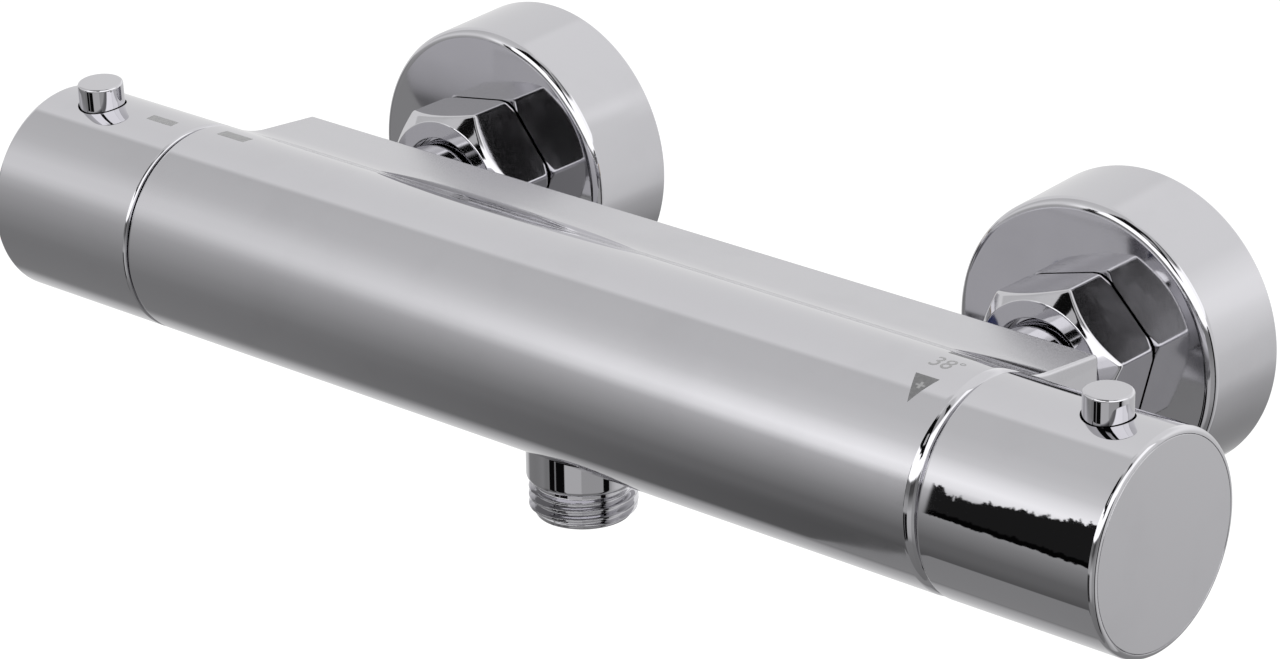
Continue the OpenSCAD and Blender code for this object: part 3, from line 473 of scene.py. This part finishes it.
def turned(corners, place=Matrix(), segments=160, steps=7, closed=True):
    """A turned form: a profile of (radius, height, round) about local Z, moved by place."""
    form = bmesh.new()
    rings = []
    for p in rounded(corners, steps):
        if p.x < 1e-6:
            rings.append([form.verts.new((0, 0, p.y))])
        else:
            rings.append([
                form.verts.new((
                    p.x * math.cos(2 * math.pi * k / segments),
                    p.x * math.sin(2 * math.pi * k / segments), p.y,
                ))
                for k in range(segments)
            ])
    pairs = list(zip(rings, rings[1:] + rings[:1]))
    if not closed:
        pairs.pop()
    for low, high in pairs:
        if len(low) == 1 and len(high) == 1:
            continue
        for k in range(segments):
            n = (k + 1) % segments
            ends = [low[k % len(low)], low[n % len(low)], high[n % len(high)], high[k % len(high)]]
            form.faces.new(list(dict.fromkeys(ends)))
    faced_outwards(form)
    form.transform(place)
    return form


def along(way, start=(0, axis_y, axis_z)):
    """The matrix that lays local Z along way, from start, in millimetres."""
    turn_to_way = Vector(way).to_track_quat("Z", "Y").to_matrix().to_4x4()
    return Matrix.Translation(Vector(start)) @ turn_to_way


to_right, to_left = along((1, 0, 0)), along((-1, 0, 0))


def drill(radius, low, high, place, segments=96):
    """A plain cylinder, from low to high along local Z."""
    ends = [(0, low, 0), (radius, low, 0), (radius, high, 0), (0, high, 0)]
    return turned(ends, place, segments, closed=False)


# The section of the bar and ledge, as points with their outward normals and rim rounds:
# the bar's arc, the valley behind it, and the ledge's sloping top, edge and rear.
fall_up = Vector((math.sin(ledge_fall), math.cos(ledge_fall)))
fall_along = Vector((math.cos(ledge_fall), -math.sin(ledge_fall)))
ledge_line = fall_up.dot(Vector((ledge_depth, ledge_height)))
corner_back = ledge_depth - ledge_edge
corner_mid = Vector((corner_back, (ledge_line - ledge_edge - fall_up.x * corner_back) / fall_up.y))
valley_rise = ledge_line + valley_r
valley_run = math.sqrt((bar_r + valley_r) ** 2 - valley_rise ** 2)
valley_mid = valley_rise * fall_up + valley_run * fall_along
meet = math.atan2(valley_mid.y, valley_mid.x)
upper = []
arc_steps, valley_steps, flat_steps, edge_steps, rear_steps = 150, 22, 10, 7, 8
for k in range(arc_steps + 1):
    a = math.pi + (meet - math.pi) * k / arc_steps
    way = Vector((math.cos(a), math.sin(a)))
    ease = min(1.0, max(0.0, (a - meet) / rim_fade))
    ease = ease * ease * (3 - 2 * ease)
    upper.append((bar_r * way, way, ledge_rim + (bar_rim - ledge_rim) * ease))
start_angle = meet + math.pi
end_angle = math.atan2(-fall_up.y, -fall_up.x) + 2 * math.pi
for k in range(1, valley_steps + 1):
    a = start_angle + (end_angle - start_angle) * k / valley_steps
    way = Vector((math.cos(a), math.sin(a)))
    upper.append((valley_mid + valley_r * way, -way, ledge_rim))
flat_from, flat_to = valley_mid - valley_r * fall_up, corner_mid + ledge_edge * fall_up
for k in range(1, flat_steps + 1):
    upper.append((flat_from.lerp(flat_to, k / flat_steps), fall_up, ledge_rim))
edge_from = math.atan2(fall_up.y, fall_up.x)
for k in range(1, edge_steps + 1):
    a = edge_from * (1 - k / edge_steps)
    way = Vector((math.cos(a), math.sin(a)))
    upper.append((corner_mid + ledge_edge * way, way, ledge_rim))
rear = Vector((1, 0))
for k in range(1, rear_steps + 1):
    rear_spot = Vector((ledge_depth, corner_mid.y * (1 - k / rear_steps)))
    upper.append((rear_spot, rear, ledge_rim))
section = upper + [
    (Vector((p.x, -p.y)), Vector((n.x, -n.y)), e) for p, n, e in reversed(upper[1:-1])
]

casting = bmesh.new()
rim_steps, middle_steps = 9, 14
stations = [(-1, k) for k in range(rim_steps + 1)] + [(0, k) for k in range(1, middle_steps)]
stations += [(1, rim_steps - k) for k in range(rim_steps + 1)]
middle_half = 95.5
rows = []
for side, k in stations:
    row = []
    for p, n, e in section:
        if side:
            a = math.pi / 2 * k / rim_steps
            e *= left_rim_share if side < 0 else 1
            p = p - n * e * (1 - math.sin(a))
            x = side * (bar_half - e * (1 - math.cos(a)))
        else:
            x = middle_half * (2 * k / middle_steps - 1)
        row.append(casting.verts.new((x, axis_y + p.x, axis_z + p.y)))
    rows.append(row)
for low, high in zip(rows, rows[1:]):
    bridged(casting, low, high)
casting.faces.new(rows[0])
casting.faces.new(reversed(rows[-1]))
faced_outwards(casting)

outlet_place = along((0, 0, -1), (0, outlet_y, axis_z))
boss_r, boss_from, boss_drop, boss_edge = 10.9, 10, 27.2, 1.2
boss = turned([
    (0, boss_from, 0), (boss_r, boss_from, 0), (boss_r, boss_drop, boss_edge), (0, boss_drop, 0),
], outlet_place, 160, closed=False)
casting = joined(casting, boss, "UNION")

# Bores and water ways inside the casting, each with its radius, start, end and direction.
# The hot gallery runs behind the cartridge's bore, and the mixed water's way runs below it.
hot_port, cold_port = (along((0, -1, 0), (x, 0, axis_z)) for x in (-inlet_at, inlet_at))
gallery_back, gallery_end, mixed_drop, past_end = 22, 53, 15.6, 99
along_gallery = along((1, 0, 0), (0, axis_y + gallery_back, axis_z))
across_gallery = along((0, 1, 0), (gallery_end, axis_y, axis_z))
along_mixed_way = along((-1, 0, 0), (0, axis_y, axis_z - mixed_drop))
bores = {
    "cartridge": (15.2, 44, past_end, to_right),
    "cartridge_mouth": (16.3, 90, past_end, to_right),
    "mixed_to_headwork": (6, -58, 44.5, to_right),
    "headwork": (11.5, 58, past_end, to_left),
    "headwork_chamber": (14.5, 66.5, 75.5, to_left),
    "headwork_mouth": (14.0, 88, past_end, to_left),
    "hot_tail_seat": (10.4, 46, 52.1, hot_port),
    "cold_tail_seat": (10.4, 46, 52.1, cold_port),
    "hot_inlet": (5, 46, 58, hot_port),
    "cold_inlet": (5, 46, 79, cold_port),
    "hot_gallery": (4.5, -inlet_at, gallery_end, along_gallery),
    "gallery_to_cartridge": (4, 0.5, gallery_back, across_gallery),
    "mixed_way": (3, 1, 71, along_mixed_way),
    "outlet": (6.5, mixed_drop, 28, outlet_place),
    "nipple_seat": (8.8, 19.5, 28, outlet_place),
}
hollow = drill(*bores.pop("cartridge"))
for bore in bores.values():
    hollow = joined(hollow, drill(*bore), "UNION")
casting = joined(casting, hollow, "DIFFERENCE")


def plated(
    name, tint=(0.612, 0.607, 0.632), rough=0.035, smear=0.03, wave=0.00003, grain=0.0,
    grain_way=(1, 1, 1), ledge_haze=0.0,
):
    """Chrome plating: a mirror with faint smears and the soft waves of hand polishing. Grain
    is fine scratches, stretched by grain_way, and ledge_haze dulls the top of the ledge."""
    material, coat = blank_material(name)
    spot = coat.add("ShaderNodeTexCoord", output="Object")
    smears = spot.noise(55.0, 4.0, 0.6).between(0.45, 0.75)
    specks = spot.noise(900.0, 2.0).between(0.6, 0.8)
    waves = spot.noise(38.0, 1.0, 0.4)
    streaked = coat.add(
        "ShaderNodeMapping", {"Vector": spot, "Scale": grain_way}, vector_type="POINT"
    )
    streaks = streaked.noise(1500.0, 3.0, 0.7)
    roughness = rough + smears * smear + specks * (smear * 0.5) + streaks * grain
    if ledge_haze:
        on_body = coat.add("ShaderNodeSeparateXYZ", {0: spot})
        behind_bar = on_body.other("Y").between(-0.064, -0.058)
        on_top = on_body.other("Z").between(0.0066, 0.0076)
        roughness = roughness + behind_bar * on_top * ledge_haze
    shade = 1 - 0.03 * smears - (streaks - 0.4) * (grain * 0.9)
    colour = coat.add("ShaderNodeVectorMath", {0: tint, "Scale": shade}, operation="SCALE")
    height = waves * wave + streaks * (grain * 0.00003)
    shader = coat.add("ShaderNodeBsdfPrincipled", {
        "Base Color": colour, "Roughness": roughness, "Normal": height.bump(), "Metallic": 1.0,
    })
    coat.add("ShaderNodeOutputMaterial", {"Surface": shader})
    return material


body_plating = plated("body_plating", ledge_haze=0.2)
x_axis, z_axis = Vector((1, 0, 0)), Vector((0, 0, 1))
on_axis = Vector((0, axis_y, axis_z))
fitted(
    "valve_casting",
    polished(casting, [(on_axis, x_axis, bar_r), (Vector((0, outlet_y, 0)), z_axis, boss_r)]),
    body_plating, "valve", "valve_body", slot="chrome",
)

# Outlet nipple. A turned and plated brass nipple, glued into the boss, with the rounded
# half inch pipe thread that the hose nut screws onto. The turned ends beside the thread
# stand at root_r, which is the thread's root to the nearest micron.
thread_crest_r, thread_pitch, thread_depth, root_r = 10.4775, 1.814, 1.16, 9.318
thread_around, thread_rows = 128, 120


def make_thread_tree():
    """Geometry Nodes: a tube of the given length with a rounded thread on its outside."""
    tree = bpy.data.node_groups.new("pipe_thread", "GeometryNodeTree")
    for name, kind, value in (
        ("Crest radius", "NodeSocketFloat", thread_crest_r),
        ("Pitch", "NodeSocketFloat", thread_pitch), ("Depth", "NodeSocketFloat", thread_depth),
        ("Root from", "NodeSocketFloat", 0.0), ("Thread from", "NodeSocketFloat", 1.0),
        ("Thread to", "NodeSocketFloat", 6.0), ("Root to", "NodeSocketFloat", 7.0),
        ("Metal", "NodeSocketMaterial", None),
    ):
        socket = tree.interface.new_socket(name, in_out="INPUT", socket_type=kind)
        if value is not None:
            socket.default_value = value
    tree.interface.new_socket("Geometry", in_out="OUTPUT", socket_type="NodeSocketGeometry")
    wire = Wire(tree)
    given = wire.add("NodeGroupInput")
    grid = wire.add("GeometryNodeMeshGrid", {
        "Size X": 1.0, "Size Y": 1.0,
        "Vertices X": thread_around + 1, "Vertices Y": thread_rows,
    })
    spot = wire.add("GeometryNodeInputPosition")
    parts = wire.add("ShaderNodeSeparateXYZ", {0: spot})
    angle = parts.other("X") * (2 * math.pi)
    share = parts.other("Y") + 0.5
    low, high = given.other("Root from"), given.other("Root to")
    height = low + share * (high - low)
    phase = (height / given.other("Pitch") - parts.other("X")) * (2 * math.pi)
    ridge = wire.math("COSINE", phase)
    crest = wire.math("SMOOTH_MAX", wire.math("MINIMUM", 0.5 + 0.62 * ridge, 1.0), 0.0, 0.15)
    half_pitch = 0.5 * given.other("Pitch")
    run_in = ((height - given.other("Thread from")) / half_pitch).between(0.0, 1.0)
    run_out = ((given.other("Thread to") - height) / half_pitch).between(0.0, 1.0)
    radius = given.other("Crest radius") - given.other("Depth") * (1 - crest * run_in * run_out)
    moved = wire.add("ShaderNodeCombineXYZ", {
        0: radius * wire.math("COSINE", angle), 1: radius * wire.math("SINE", angle), 2: height,
    })
    skin = wire.add("GeometryNodeSetPosition", {"Geometry": grid, "Position": moved})
    closed_skin = wire.add("GeometryNodeMergeByDistance", {"Geometry": skin, "Distance": 0.0005})
    done = wire.add("GeometryNodeSetMaterial", {
        "Geometry": closed_skin, "Material": given.other("Metal"),
    })
    wire.add("NodeGroupOutput", {"Geometry": done})
    return tree


thread_tree = make_thread_tree()


def thread_skin(metal, **sizes):
    """The open skin of a thread about local Z, as a bmesh in millimetres."""
    holder = linked("threading", bpy.data.meshes.new("threading"))
    modifier = holder.modifiers.new("thread", "NODES")
    modifier.node_group = thread_tree
    for item in thread_tree.interface.items_tree:
        key = item.name.lower().replace(" ", "_")
        if key in sizes:
            modifier[item.identifier] = sizes[key]
        elif item.name == "Metal":
            modifier[item.identifier] = metal
    mesh = evaluated_mesh(holder)
    bpy.data.objects.remove(holder)
    skin = bmesh.new()
    skin.from_mesh(mesh)
    return skin


def threaded(metal, place, ends, low_profile, high_profile, **sizes):
    """A threaded tube: its skin, closed by turned profiles at both ends and a bore."""
    skin = thread_skin(metal, root_from=ends[0], root_to=ends[1], **sizes)
    rims = [
        sorted(
            (v for v in skin.verts if abs(v.co.z - h) < 1e-4),
            key=lambda v: math.atan2(v.co.y, v.co.x),
        )
        for h in ends
    ]
    angles = [math.atan2(v.co.y, v.co.x) for v in rims[0]]

    def ring(r, h):
        return [skin.verts.new((r * math.cos(a), r * math.sin(a), h)) for a in angles]

    chain = [ring(r, h) for r, h in low_profile] + [rims[0]]
    tail = [rims[1]] + [ring(r, h) for r, h in high_profile]
    for group in (chain, tail):
        for low, high in zip(group, group[1:]):
            bridged(skin, low, high)
    bridged(skin, tail[-1], chain[0])
    bmesh.ops.remove_doubles(skin, verts=skin.verts, dist=1e-5)
    faced_outwards(skin)
    skin.transform(place)
    return skin


nipple_plating = plated("nipple_plating", rough=0.015, smear=0.02)
nipple_bore_r, nipple_shank_r, nipple_from, nipple_to, nipple_edge = 6.0, 8.7, 19.6, 34.3, 0.2
skin_from, skin_to, thread_gap, face_r = 28.0, 33.9, 0.05, 9.2
nipple = threaded(
    nipple_plating, outlet_place, (skin_from, skin_to),
    [
        (nipple_bore_r, nipple_from), (nipple_shank_r, nipple_from),
        (nipple_shank_r, boss_drop), (root_r, boss_drop),
    ],
    [
        (root_r, skin_to), (root_r, nipple_to - nipple_edge), (face_r, nipple_to),
        (nipple_bore_r + nipple_edge, nipple_to), (nipple_bore_r, nipple_to - nipple_edge),
    ],
    crest_radius=thread_crest_r, pitch=thread_pitch, depth=thread_depth,
    thread_from=skin_from + thread_gap, thread_to=skin_to - thread_gap,
)
fitted(
    "hose_nipple", polished(nipple, sharp=50), nipple_plating,
    "valve", "outlet_nipple", slot="chrome",
)

# Knobs. Each is a drawn and plated shell with a small rounded rim, and a flush end cap that
# snaps into it; a hole at the top lets the push button through.
knob_from, knob_to = 98.3, 136.3
shell_inner_r, cap_seat_r, cap_r, cap_thick = 18.5, 19.75, 19.7, 2.0
snap_r, snap_inner_r, snap_depth = 18.4, 16.4, 5.0
button_at, button_r, hole_r, hole_from, hole_to = 123.7, 4.6, 4.9, 10, 30
flow_lean = math.radians(3.5)
knob_plating = plated("knob_plating", rough=0.008, smear=0.012, wave=0.00001)
cap_plating = plated("cap_plating", rough=0.07, smear=0.02)
for name, sign, lean in (("temperature", 1, 0.0), ("flow", -1, flow_lean)):
    place = along((sign, 0, 0))
    shell = turned([
        (shell_inner_r, knob_from, 0.15), (bar_r, knob_from, 0.7), (bar_r, knob_to, 1.2),
        (cap_seat_r, knob_to, 0.12), (cap_seat_r, knob_to - cap_thick, 0),
        (shell_inner_r, knob_to - cap_thick, 0),
    ], place, 256)
    upward = Vector((0, -math.sin(lean), math.cos(lean)))
    hole_place = along(upward, (sign * button_at, axis_y, axis_z))
    shell = joined(shell, drill(hole_r, hole_from, hole_to, hole_place), "DIFFERENCE")
    fitted(
        name + "_knob_shell",
        polished(shell, [(on_axis, x_axis, bar_r), (on_axis, x_axis, shell_inner_r)]),
        knob_plating, name + "_control", name + "_knob", slot="chrome",
    )
    cap = turned([
        (0, knob_to, 0), (cap_r, knob_to, 0.15), (cap_r, knob_to - cap_thick, 0),
        (snap_r, knob_to - cap_thick, 0), (snap_r, knob_to - snap_depth, 0.2),
        (snap_inner_r, knob_to - snap_depth, 0.2), (snap_inner_r, knob_to - cap_thick, 0),
        (0, knob_to - cap_thick, 0),
    ], place, 256, closed=False)
    fitted(
        name + "_end_cap", polished(cap), cap_plating,
        name + "_control", name + "_knob_cap", slot="chrome",
    )

# Push buttons. Small plated plungers that lift a latch in the knob, with a softly broken
# edge; each rides in its own hole on a spring.
button_plating = plated("button_plating", rough=0.015, smear=0.02)
button_top = 25.6
foot_r, foot_from, foot_to = 5.4, 15.59, 17.39
latch_from, latch_width, latch_edge = 105.1, 5.0, 0.25
for name, sign, lean in (("temperature", 1, 0.0), ("flow", -1, flow_lean)):
    upward = Vector((0, -math.sin(lean), math.cos(lean)))
    place = along(upward, (sign * button_at, axis_y, axis_z))
    button = turned([
        (0, foot_from, 0), (foot_r, foot_from, 0), (foot_r, foot_to, 0), (button_r, foot_to, 0),
        (button_r, button_top, 0.6), (0, button_top, 0),
    ], place, 128, closed=False)
    span = button_at - latch_from
    latch = bmesh.new()
    bmesh.ops.create_cube(latch, size=1)
    bmesh.ops.scale(latch, vec=(span, latch_width, foot_to - foot_from), verts=latch.verts)
    latch_middle = (-sign * span / 2, 0, (foot_from + foot_to) / 2)
    bmesh.ops.translate(latch, vec=latch_middle, verts=latch.verts)
    bmesh.ops.bevel(
        latch, geom=list(latch.edges), offset=latch_edge, segments=2, profile=0.5, affect="EDGES",
        clamp_overlap=True,
    )
    button_centre = Matrix.Translation((sign * button_at, axis_y, axis_z))
    latch.transform(button_centre @ Matrix.Rotation(lean, 4, "X"))
    button = joined(button, latch, "UNION")
    fitted(
        name + "_push_button", polished(button), button_plating,
        name + "_push", name + "_button", slot="chrome",
    )

# Union nuts. Forged and milled hexagons of plated brass with a 45 degree cone at the face,
# rubbed a little dull on their flats by tools and handling.
nut_plating = plated(
    "nut_plating", rough=0.035, smear=0.05, grain=0.05, grain_way=(1.0, 1.0, 0.12)
)
nut_from, nut_floor, nut_to, nut_round, nut_chamfer = 20.4, 31.7, 34.0, 0.55, 0.7
nut_corner_r, nut_face_r, nut_hole_r, nut_bore_r = 17.32, 14.0, 10.6, 13.26
nut_flat_r = nut_corner_r * math.cos(math.radians(30))


def soft_least(first, second, size):
    """The smaller of two lengths, with the step between them rounded over size."""
    near = max(size - abs(first - second), 0) / size
    return min(first, second) - near * near * size / 4


def hexagon_radius(degrees):
    """The radius of the hexagon, its corners rounded, at an angle from a corner."""
    sides = [nut_flat_r / math.cos(math.radians(degrees - side)) for side in (-30, 30)]
    return soft_least(*sides, nut_round)


# Degrees round a nut, closest together at its corners, then the turned blank's rows of
# height and radius: the chamfer at the back, the flats, and the cone in front.
half_flat_steps = 30
turns = [
    60 * corner + 30 * math.copysign(1 - math.cos(math.pi / 2 * abs(k) / half_flat_steps), k)
    for corner in range(6) for k in range(-half_flat_steps, half_flat_steps)
]
chamfer_step, flats_from, flats_step, cone_from, cone_step = 0.1, 22.0, 2.0, 29.6, 0.07
blank = [
    (nut_from + chamfer_step * k, nut_corner_r - nut_chamfer + chamfer_step * k) for k in range(15)
]
blank += [(flats_from + flats_step * k, nut_corner_r + 2) for k in range(4)]
blank += [(h, nut_face_r + nut_to - h) for h in (cone_from + cone_step * k for k in range(60))]
nose = rounded([
    (nut_face_r + 1, nut_to - 1, 0), (nut_face_r, nut_to, 0.6), (nut_hole_r, nut_to, 0.3),
    (nut_hole_r, nut_floor, 0), (nut_bore_r, nut_floor, 0), (nut_bore_r, nut_from, 0),
])
rows = [
    [(h, soft_least(r, hexagon_radius((t + 30) % 60 - 30), nut_round)) for t in turns]
    for h, r in blank
]
rows += [[(p.y, p.x)] * len(turns) for p in nose[1:]]
for name, x, phase in (("hot", -inlet_at, 9.7), ("cold", inlet_at, 15.4)):
    nut = bmesh.new()
    rings = []
    for row in rows:
        ring = []
        for (h, r), t in zip(row, turns):
            way = math.radians(phase + t)
            ring.append(nut.verts.new((x + r * math.cos(way), -h, axis_z + r * math.sin(way))))
        rings.append(ring)
    for low, high in zip(rings, rings[1:] + rings[:1]):
        bridged(nut, low, high)
    faced_outwards(nut)
    fitted(
        name + "_union_nut", polished(nut, sharp=50), nut_plating,
        name + "_nut", "union_nut_" + name, slot="chrome",
    )

# Inlet tails. Plated brass tubes screwed into the back of the body; the nut pulls on
# the collar of each.
tail_plating = plated("tail_plating", rough=0.05)
collar_r, tail_r, tail_end_r, wide_bore_r, narrow_bore_r = 12.2, 9.7, 10.3, 7.5, 6.0
collar_from, collar_to, bore_step, tail_end_from, tail_to = 29.0, 31.4, 44.0, 47.0, 52.0
for name, place in (("hot", hot_port), ("cold", cold_port)):
    tail = turned([
        (wide_bore_r, collar_from, 0.1), (collar_r, collar_from, 0.3), (collar_r, collar_to, 0.3),
        (tail_r, collar_to, 0.2), (tail_r, tail_end_from, 0), (tail_end_r, tail_end_from, 0),
        (tail_end_r, tail_to, 0.4), (narrow_bore_r, tail_to, 0.2), (narrow_bore_r, bore_step, 0),
        (wide_bore_r, bore_step, 0),
    ], place, 128)
    fitted(
        name + "_inlet_tail", polished(tail), tail_plating,
        "valve", "inlet_tail_" + name, slot="chrome",
    )

# Rosettes. Cups drawn from sheet brass, polished and plated, that cover the holes in the
# tiles; the front edge is rounded by the drawing.
rosette_plating = plated("rosette_plating", rough=0.055, smear=0.05)
cup_hole_r, cup_front_r, cup_rear_r, cup_depth, cup_sheet = 13.3, 29.5, 30.15, 20.0, 1.2
for name, place in (("hot", hot_port), ("cold", cold_port)):
    cup = turned([
        (cup_hole_r, cup_depth, 0.25), (cup_front_r, cup_depth, 2.0), (cup_rear_r, 0.0, 0.3),
        (cup_rear_r - cup_sheet, 0.0, 0.3), (cup_front_r - cup_sheet, cup_depth - cup_sheet, 0.9),
        (cup_hole_r, cup_depth - cup_sheet, 0),
    ], place, 256, steps=10)
    fitted(
        name + "_rosette", polished(cup), rosette_plating,
        "valve", "rosette_" + name, slot="chrome",
    )

# Printed marks. Grey ink on the plating: the safety stop's temperature with its arrow, and
# the dashes that show where the knobs stand; a blue spot behind the ledge marks cold.
ink_stand, ink_sink, strip_degrees = 0.02, 0.03, 1.1


def printed_ink(name, colour, wear):
    """Thin matt ink, worn through a little in specks."""
    material, ink = blank_material(name)
    spot = ink.add("ShaderNodeTexCoord", output="Object")
    specks = spot.noise(1400.0, 3.0, 0.7)
    clouds = spot.noise(300.0, 2.0)
    bare_metal = 0.55
    worn = tuple(c + wear * (bare_metal - c) for c in colour)
    base = blended(ink, specks.between(0.42, 0.62) * 0.7 + clouds * 0.2, (*colour, 1), (*worn, 1))
    shader = ink.add("ShaderNodeBsdfPrincipled", {
        "Base Color": base, "Roughness": 0.38 + specks * 0.2, "Normal": (specks * 0.00001).bump(),
    })
    ink.add("ShaderNodeOutputMaterial", {"Surface": shader})
    return material


def lettering(words):
    """Flat faces of words in a unit box: x and y run from 0 to 1 over the inked area."""
    curve = bpy.data.curves.new("lettering", "FONT")
    curve.body = words
    curve.resolution_u = 6
    holder = linked("lettering", curve)
    mesh = evaluated_mesh(holder)
    bpy.data.objects.remove(holder)
    flat = bmesh.new()
    flat.from_mesh(mesh)
    bmesh.ops.remove_doubles(flat, verts=flat.verts, dist=1e-6)
    low = Vector([min(v.co[i] for v in flat.verts) for i in range(3)])
    high = Vector([max(v.co[i] for v in flat.verts) for i in range(3)])
    size = high - low
    for v in flat.verts:
        v.co = Vector(((v.co.x - low.x) / size.x, (v.co.y - low.y) / size.y, 0))
    return flat


def outline(*points):
    """A flat face with the given corners."""
    flat = bmesh.new()
    flat.faces.new([flat.verts.new((x, y, 0)) for x, y in points])
    return flat


def wrapped(flat, left, right, front, back, lift=0.0):
    """Lays unit-box faces on the bar, from left to right in x and front to back in degrees."""
    strips = math.ceil((back - front) / strip_degrees)
    for k in range(1, strips):
        bmesh.ops.bisect_plane(
            flat, geom=flat.verts[:] + flat.edges[:] + flat.faces[:],
            plane_co=(0, k / strips, 0), plane_no=(0, 1, 0),
        )
    bmesh.ops.triangulate(flat, faces=flat.faces)
    grown = bmesh.ops.extrude_face_region(flat, geom=flat.faces[:], use_keep_orig=True)
    for v in (g for g in grown["geom"] if isinstance(g, bmesh.types.BMVert)):
        v.co.z = 1
    for v in flat.verts:
        a = math.radians(front + (back - front) * v.co.y)
        r = bar_r + lift + (ink_stand if v.co.z > 0.5 else -ink_sink)
        v.co = Vector((
            left + (right - left) * v.co.x, axis_y - r * math.cos(a), axis_z + r * math.sin(a),
        ))
    bmesh.ops.recalc_face_normals(flat, faces=flat.faces)
    return flat


def gathered(*forms):
    """Several bmeshes as one."""
    whole = bmesh.new()
    for form in forms:
        part = bpy.data.meshes.new("gathering")
        form.to_mesh(part)
        form.free()
        whole.from_mesh(part)
        bpy.data.meshes.remove(part)
    return whole


unit_box = ((0, 0), (1, 0), (1, 1), (0, 1))
plus = (
    (0.35, 0), (0.65, 0), (0.65, 0.38), (1, 0.38), (1, 0.62), (0.65, 0.62), (0.65, 1), (0.35, 1),
    (0.35, 0.62), (0, 0.62), (0, 0.38), (0.35, 0.38),
)
pale_ink = printed_ink("pale_grey_ink", (0.34, 0.34, 0.345), 0.3)
dark_ink = printed_ink("dark_grey_ink", (0.17, 0.17, 0.175), 0.12)
body_marks = gathered(
    wrapped(lettering("38"), 86.0, 90.4, 84.5, 95.5),
    wrapped(lettering("\u00b0"), 90.7, 91.9, 92.6, 95.6),
    wrapped(outline(*unit_box), -93.0, -85.8, 91.3, 99.3),
    wrapped(outline(*plus), 88.0, 90.0, 66.0, 70.6, lift=0.015),
)
fitted("body_marks", polished(body_marks), pale_ink, "valve")
arrow = wrapped(outline((0.56, 0), (1, 1), (0, 1)), 86.1, 91.3, 56.9, 75.5)
stop_dash = wrapped(outline(*unit_box), 85.1, 91.0, 104.7, 107.4)
fitted("stop_arrow", polished(gathered(arrow, stop_dash)), dark_ink, "valve")
flow_dash = wrapped(outline(*unit_box), -110.3, -103.4, 84.6, 90.6)
fitted("flow_dash", polished(flow_dash), pale_ink, "flow_control")

cold_spot_r, cold_spot_at, cold_spot_drop = 4.8, 51.6, 1.4
ledge_back = along((0, 1, 0), (cold_spot_at, axis_y + ledge_depth, axis_z - cold_spot_drop))
cold_spot = drill(cold_spot_r, -ink_sink, ink_stand, ledge_back, 64)
blue_ink = printed_ink("blue_ink", (0.004, 0.02, 0.15), 0.05)
fitted("cold_spot", polished(cold_spot), blue_ink, "valve")

# Hidden and half hidden pieces keep their CAD form, and get the finish of their material:
# brass, ceramic, moulded plastic, rubber and spring steel.


def surfaced(name, colour, metallic, rough, rough_change, scale, bump_depth, dark=0.85):
    """A material whose colour and roughness change in soft patches over a fine grain."""
    material, coat = blank_material(name)
    spot = coat.add("ShaderNodeTexCoord", output="Object")
    patches = spot.noise(scale * 0.1, 3.0)
    grain = spot.noise(scale, 3.0, 0.6)
    darker = tuple(c * dark for c in colour)
    base = blended(coat, patches.between(0.35, 0.7), (*colour, 1), (*darker, 1))
    shader = coat.add("ShaderNodeBsdfPrincipled", {
        "Base Color": base, "Roughness": rough + grain * rough_change, "Metallic": metallic,
        "Normal": (grain * bump_depth).bump(),
    })
    coat.add("ShaderNodeOutputMaterial", {"Surface": shader})
    return material


finishes = {
    "chrome": plated("hidden_plating", rough=0.06),
    "brass": surfaced("turned_brass", (0.72, 0.52, 0.26), 1.0, 0.18, 0.2, 900, 0.00001),
    "spring_steel": surfaced("spring_steel", (0.52, 0.52, 0.54), 1.0, 0.22, 0.15, 1500, 0.00001),
    "cartridge_plastic": surfaced(
        "cartridge_plastic", (0.75, 0.75, 0.73), 0.0, 0.35, 0.2, 1200, 0.00002
    ),
    "knob_plastic": surfaced("knob_plastic", (0.62, 0.63, 0.65), 0.0, 0.38, 0.2, 1200, 0.00002),
    "ceramic": surfaced(
        "ground_ceramic", (0.86, 0.86, 0.84), 0.0, 0.15, 0.1, 2500, 0.000004, 0.96
    ),
    "seal_rubber": surfaced("seal_rubber", (0.03, 0.03, 0.032), 0.0, 0.5, 0.2, 1600, 0.00002, 0.7),
}
slot_of_node = {s["node"]: s["material_slot"] for s in frame["record"]["subparts"]}
for node, thing in frame["nodes"].items():
    if thing.hide_render:
        continue
    finish = finishes[slot_of_node[node]]
    if not thing.data.materials:
        thing.data.materials.append(finish)
    for slot in thing.material_slots:
        slot.material = finish

# Button springs. Wound from steel wire; each stands on the knob's insert and lifts its push
# button.
for name, sign, lean in (("temperature", 1, 0.0), ("flow", -1, flow_lean)):
    upward = Vector((0, -math.sin(lean), math.cos(lean)))
    wound = frame["nodes"][name + "_button_spring"]
    coil = linked(name + "_button_coil", wound.data.copy())
    coil.data.transform(wound.matrix_world)
    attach(coil, name + "_control")
    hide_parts(name + "_button_spring")
    name + "_button_press"
    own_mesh(coil)
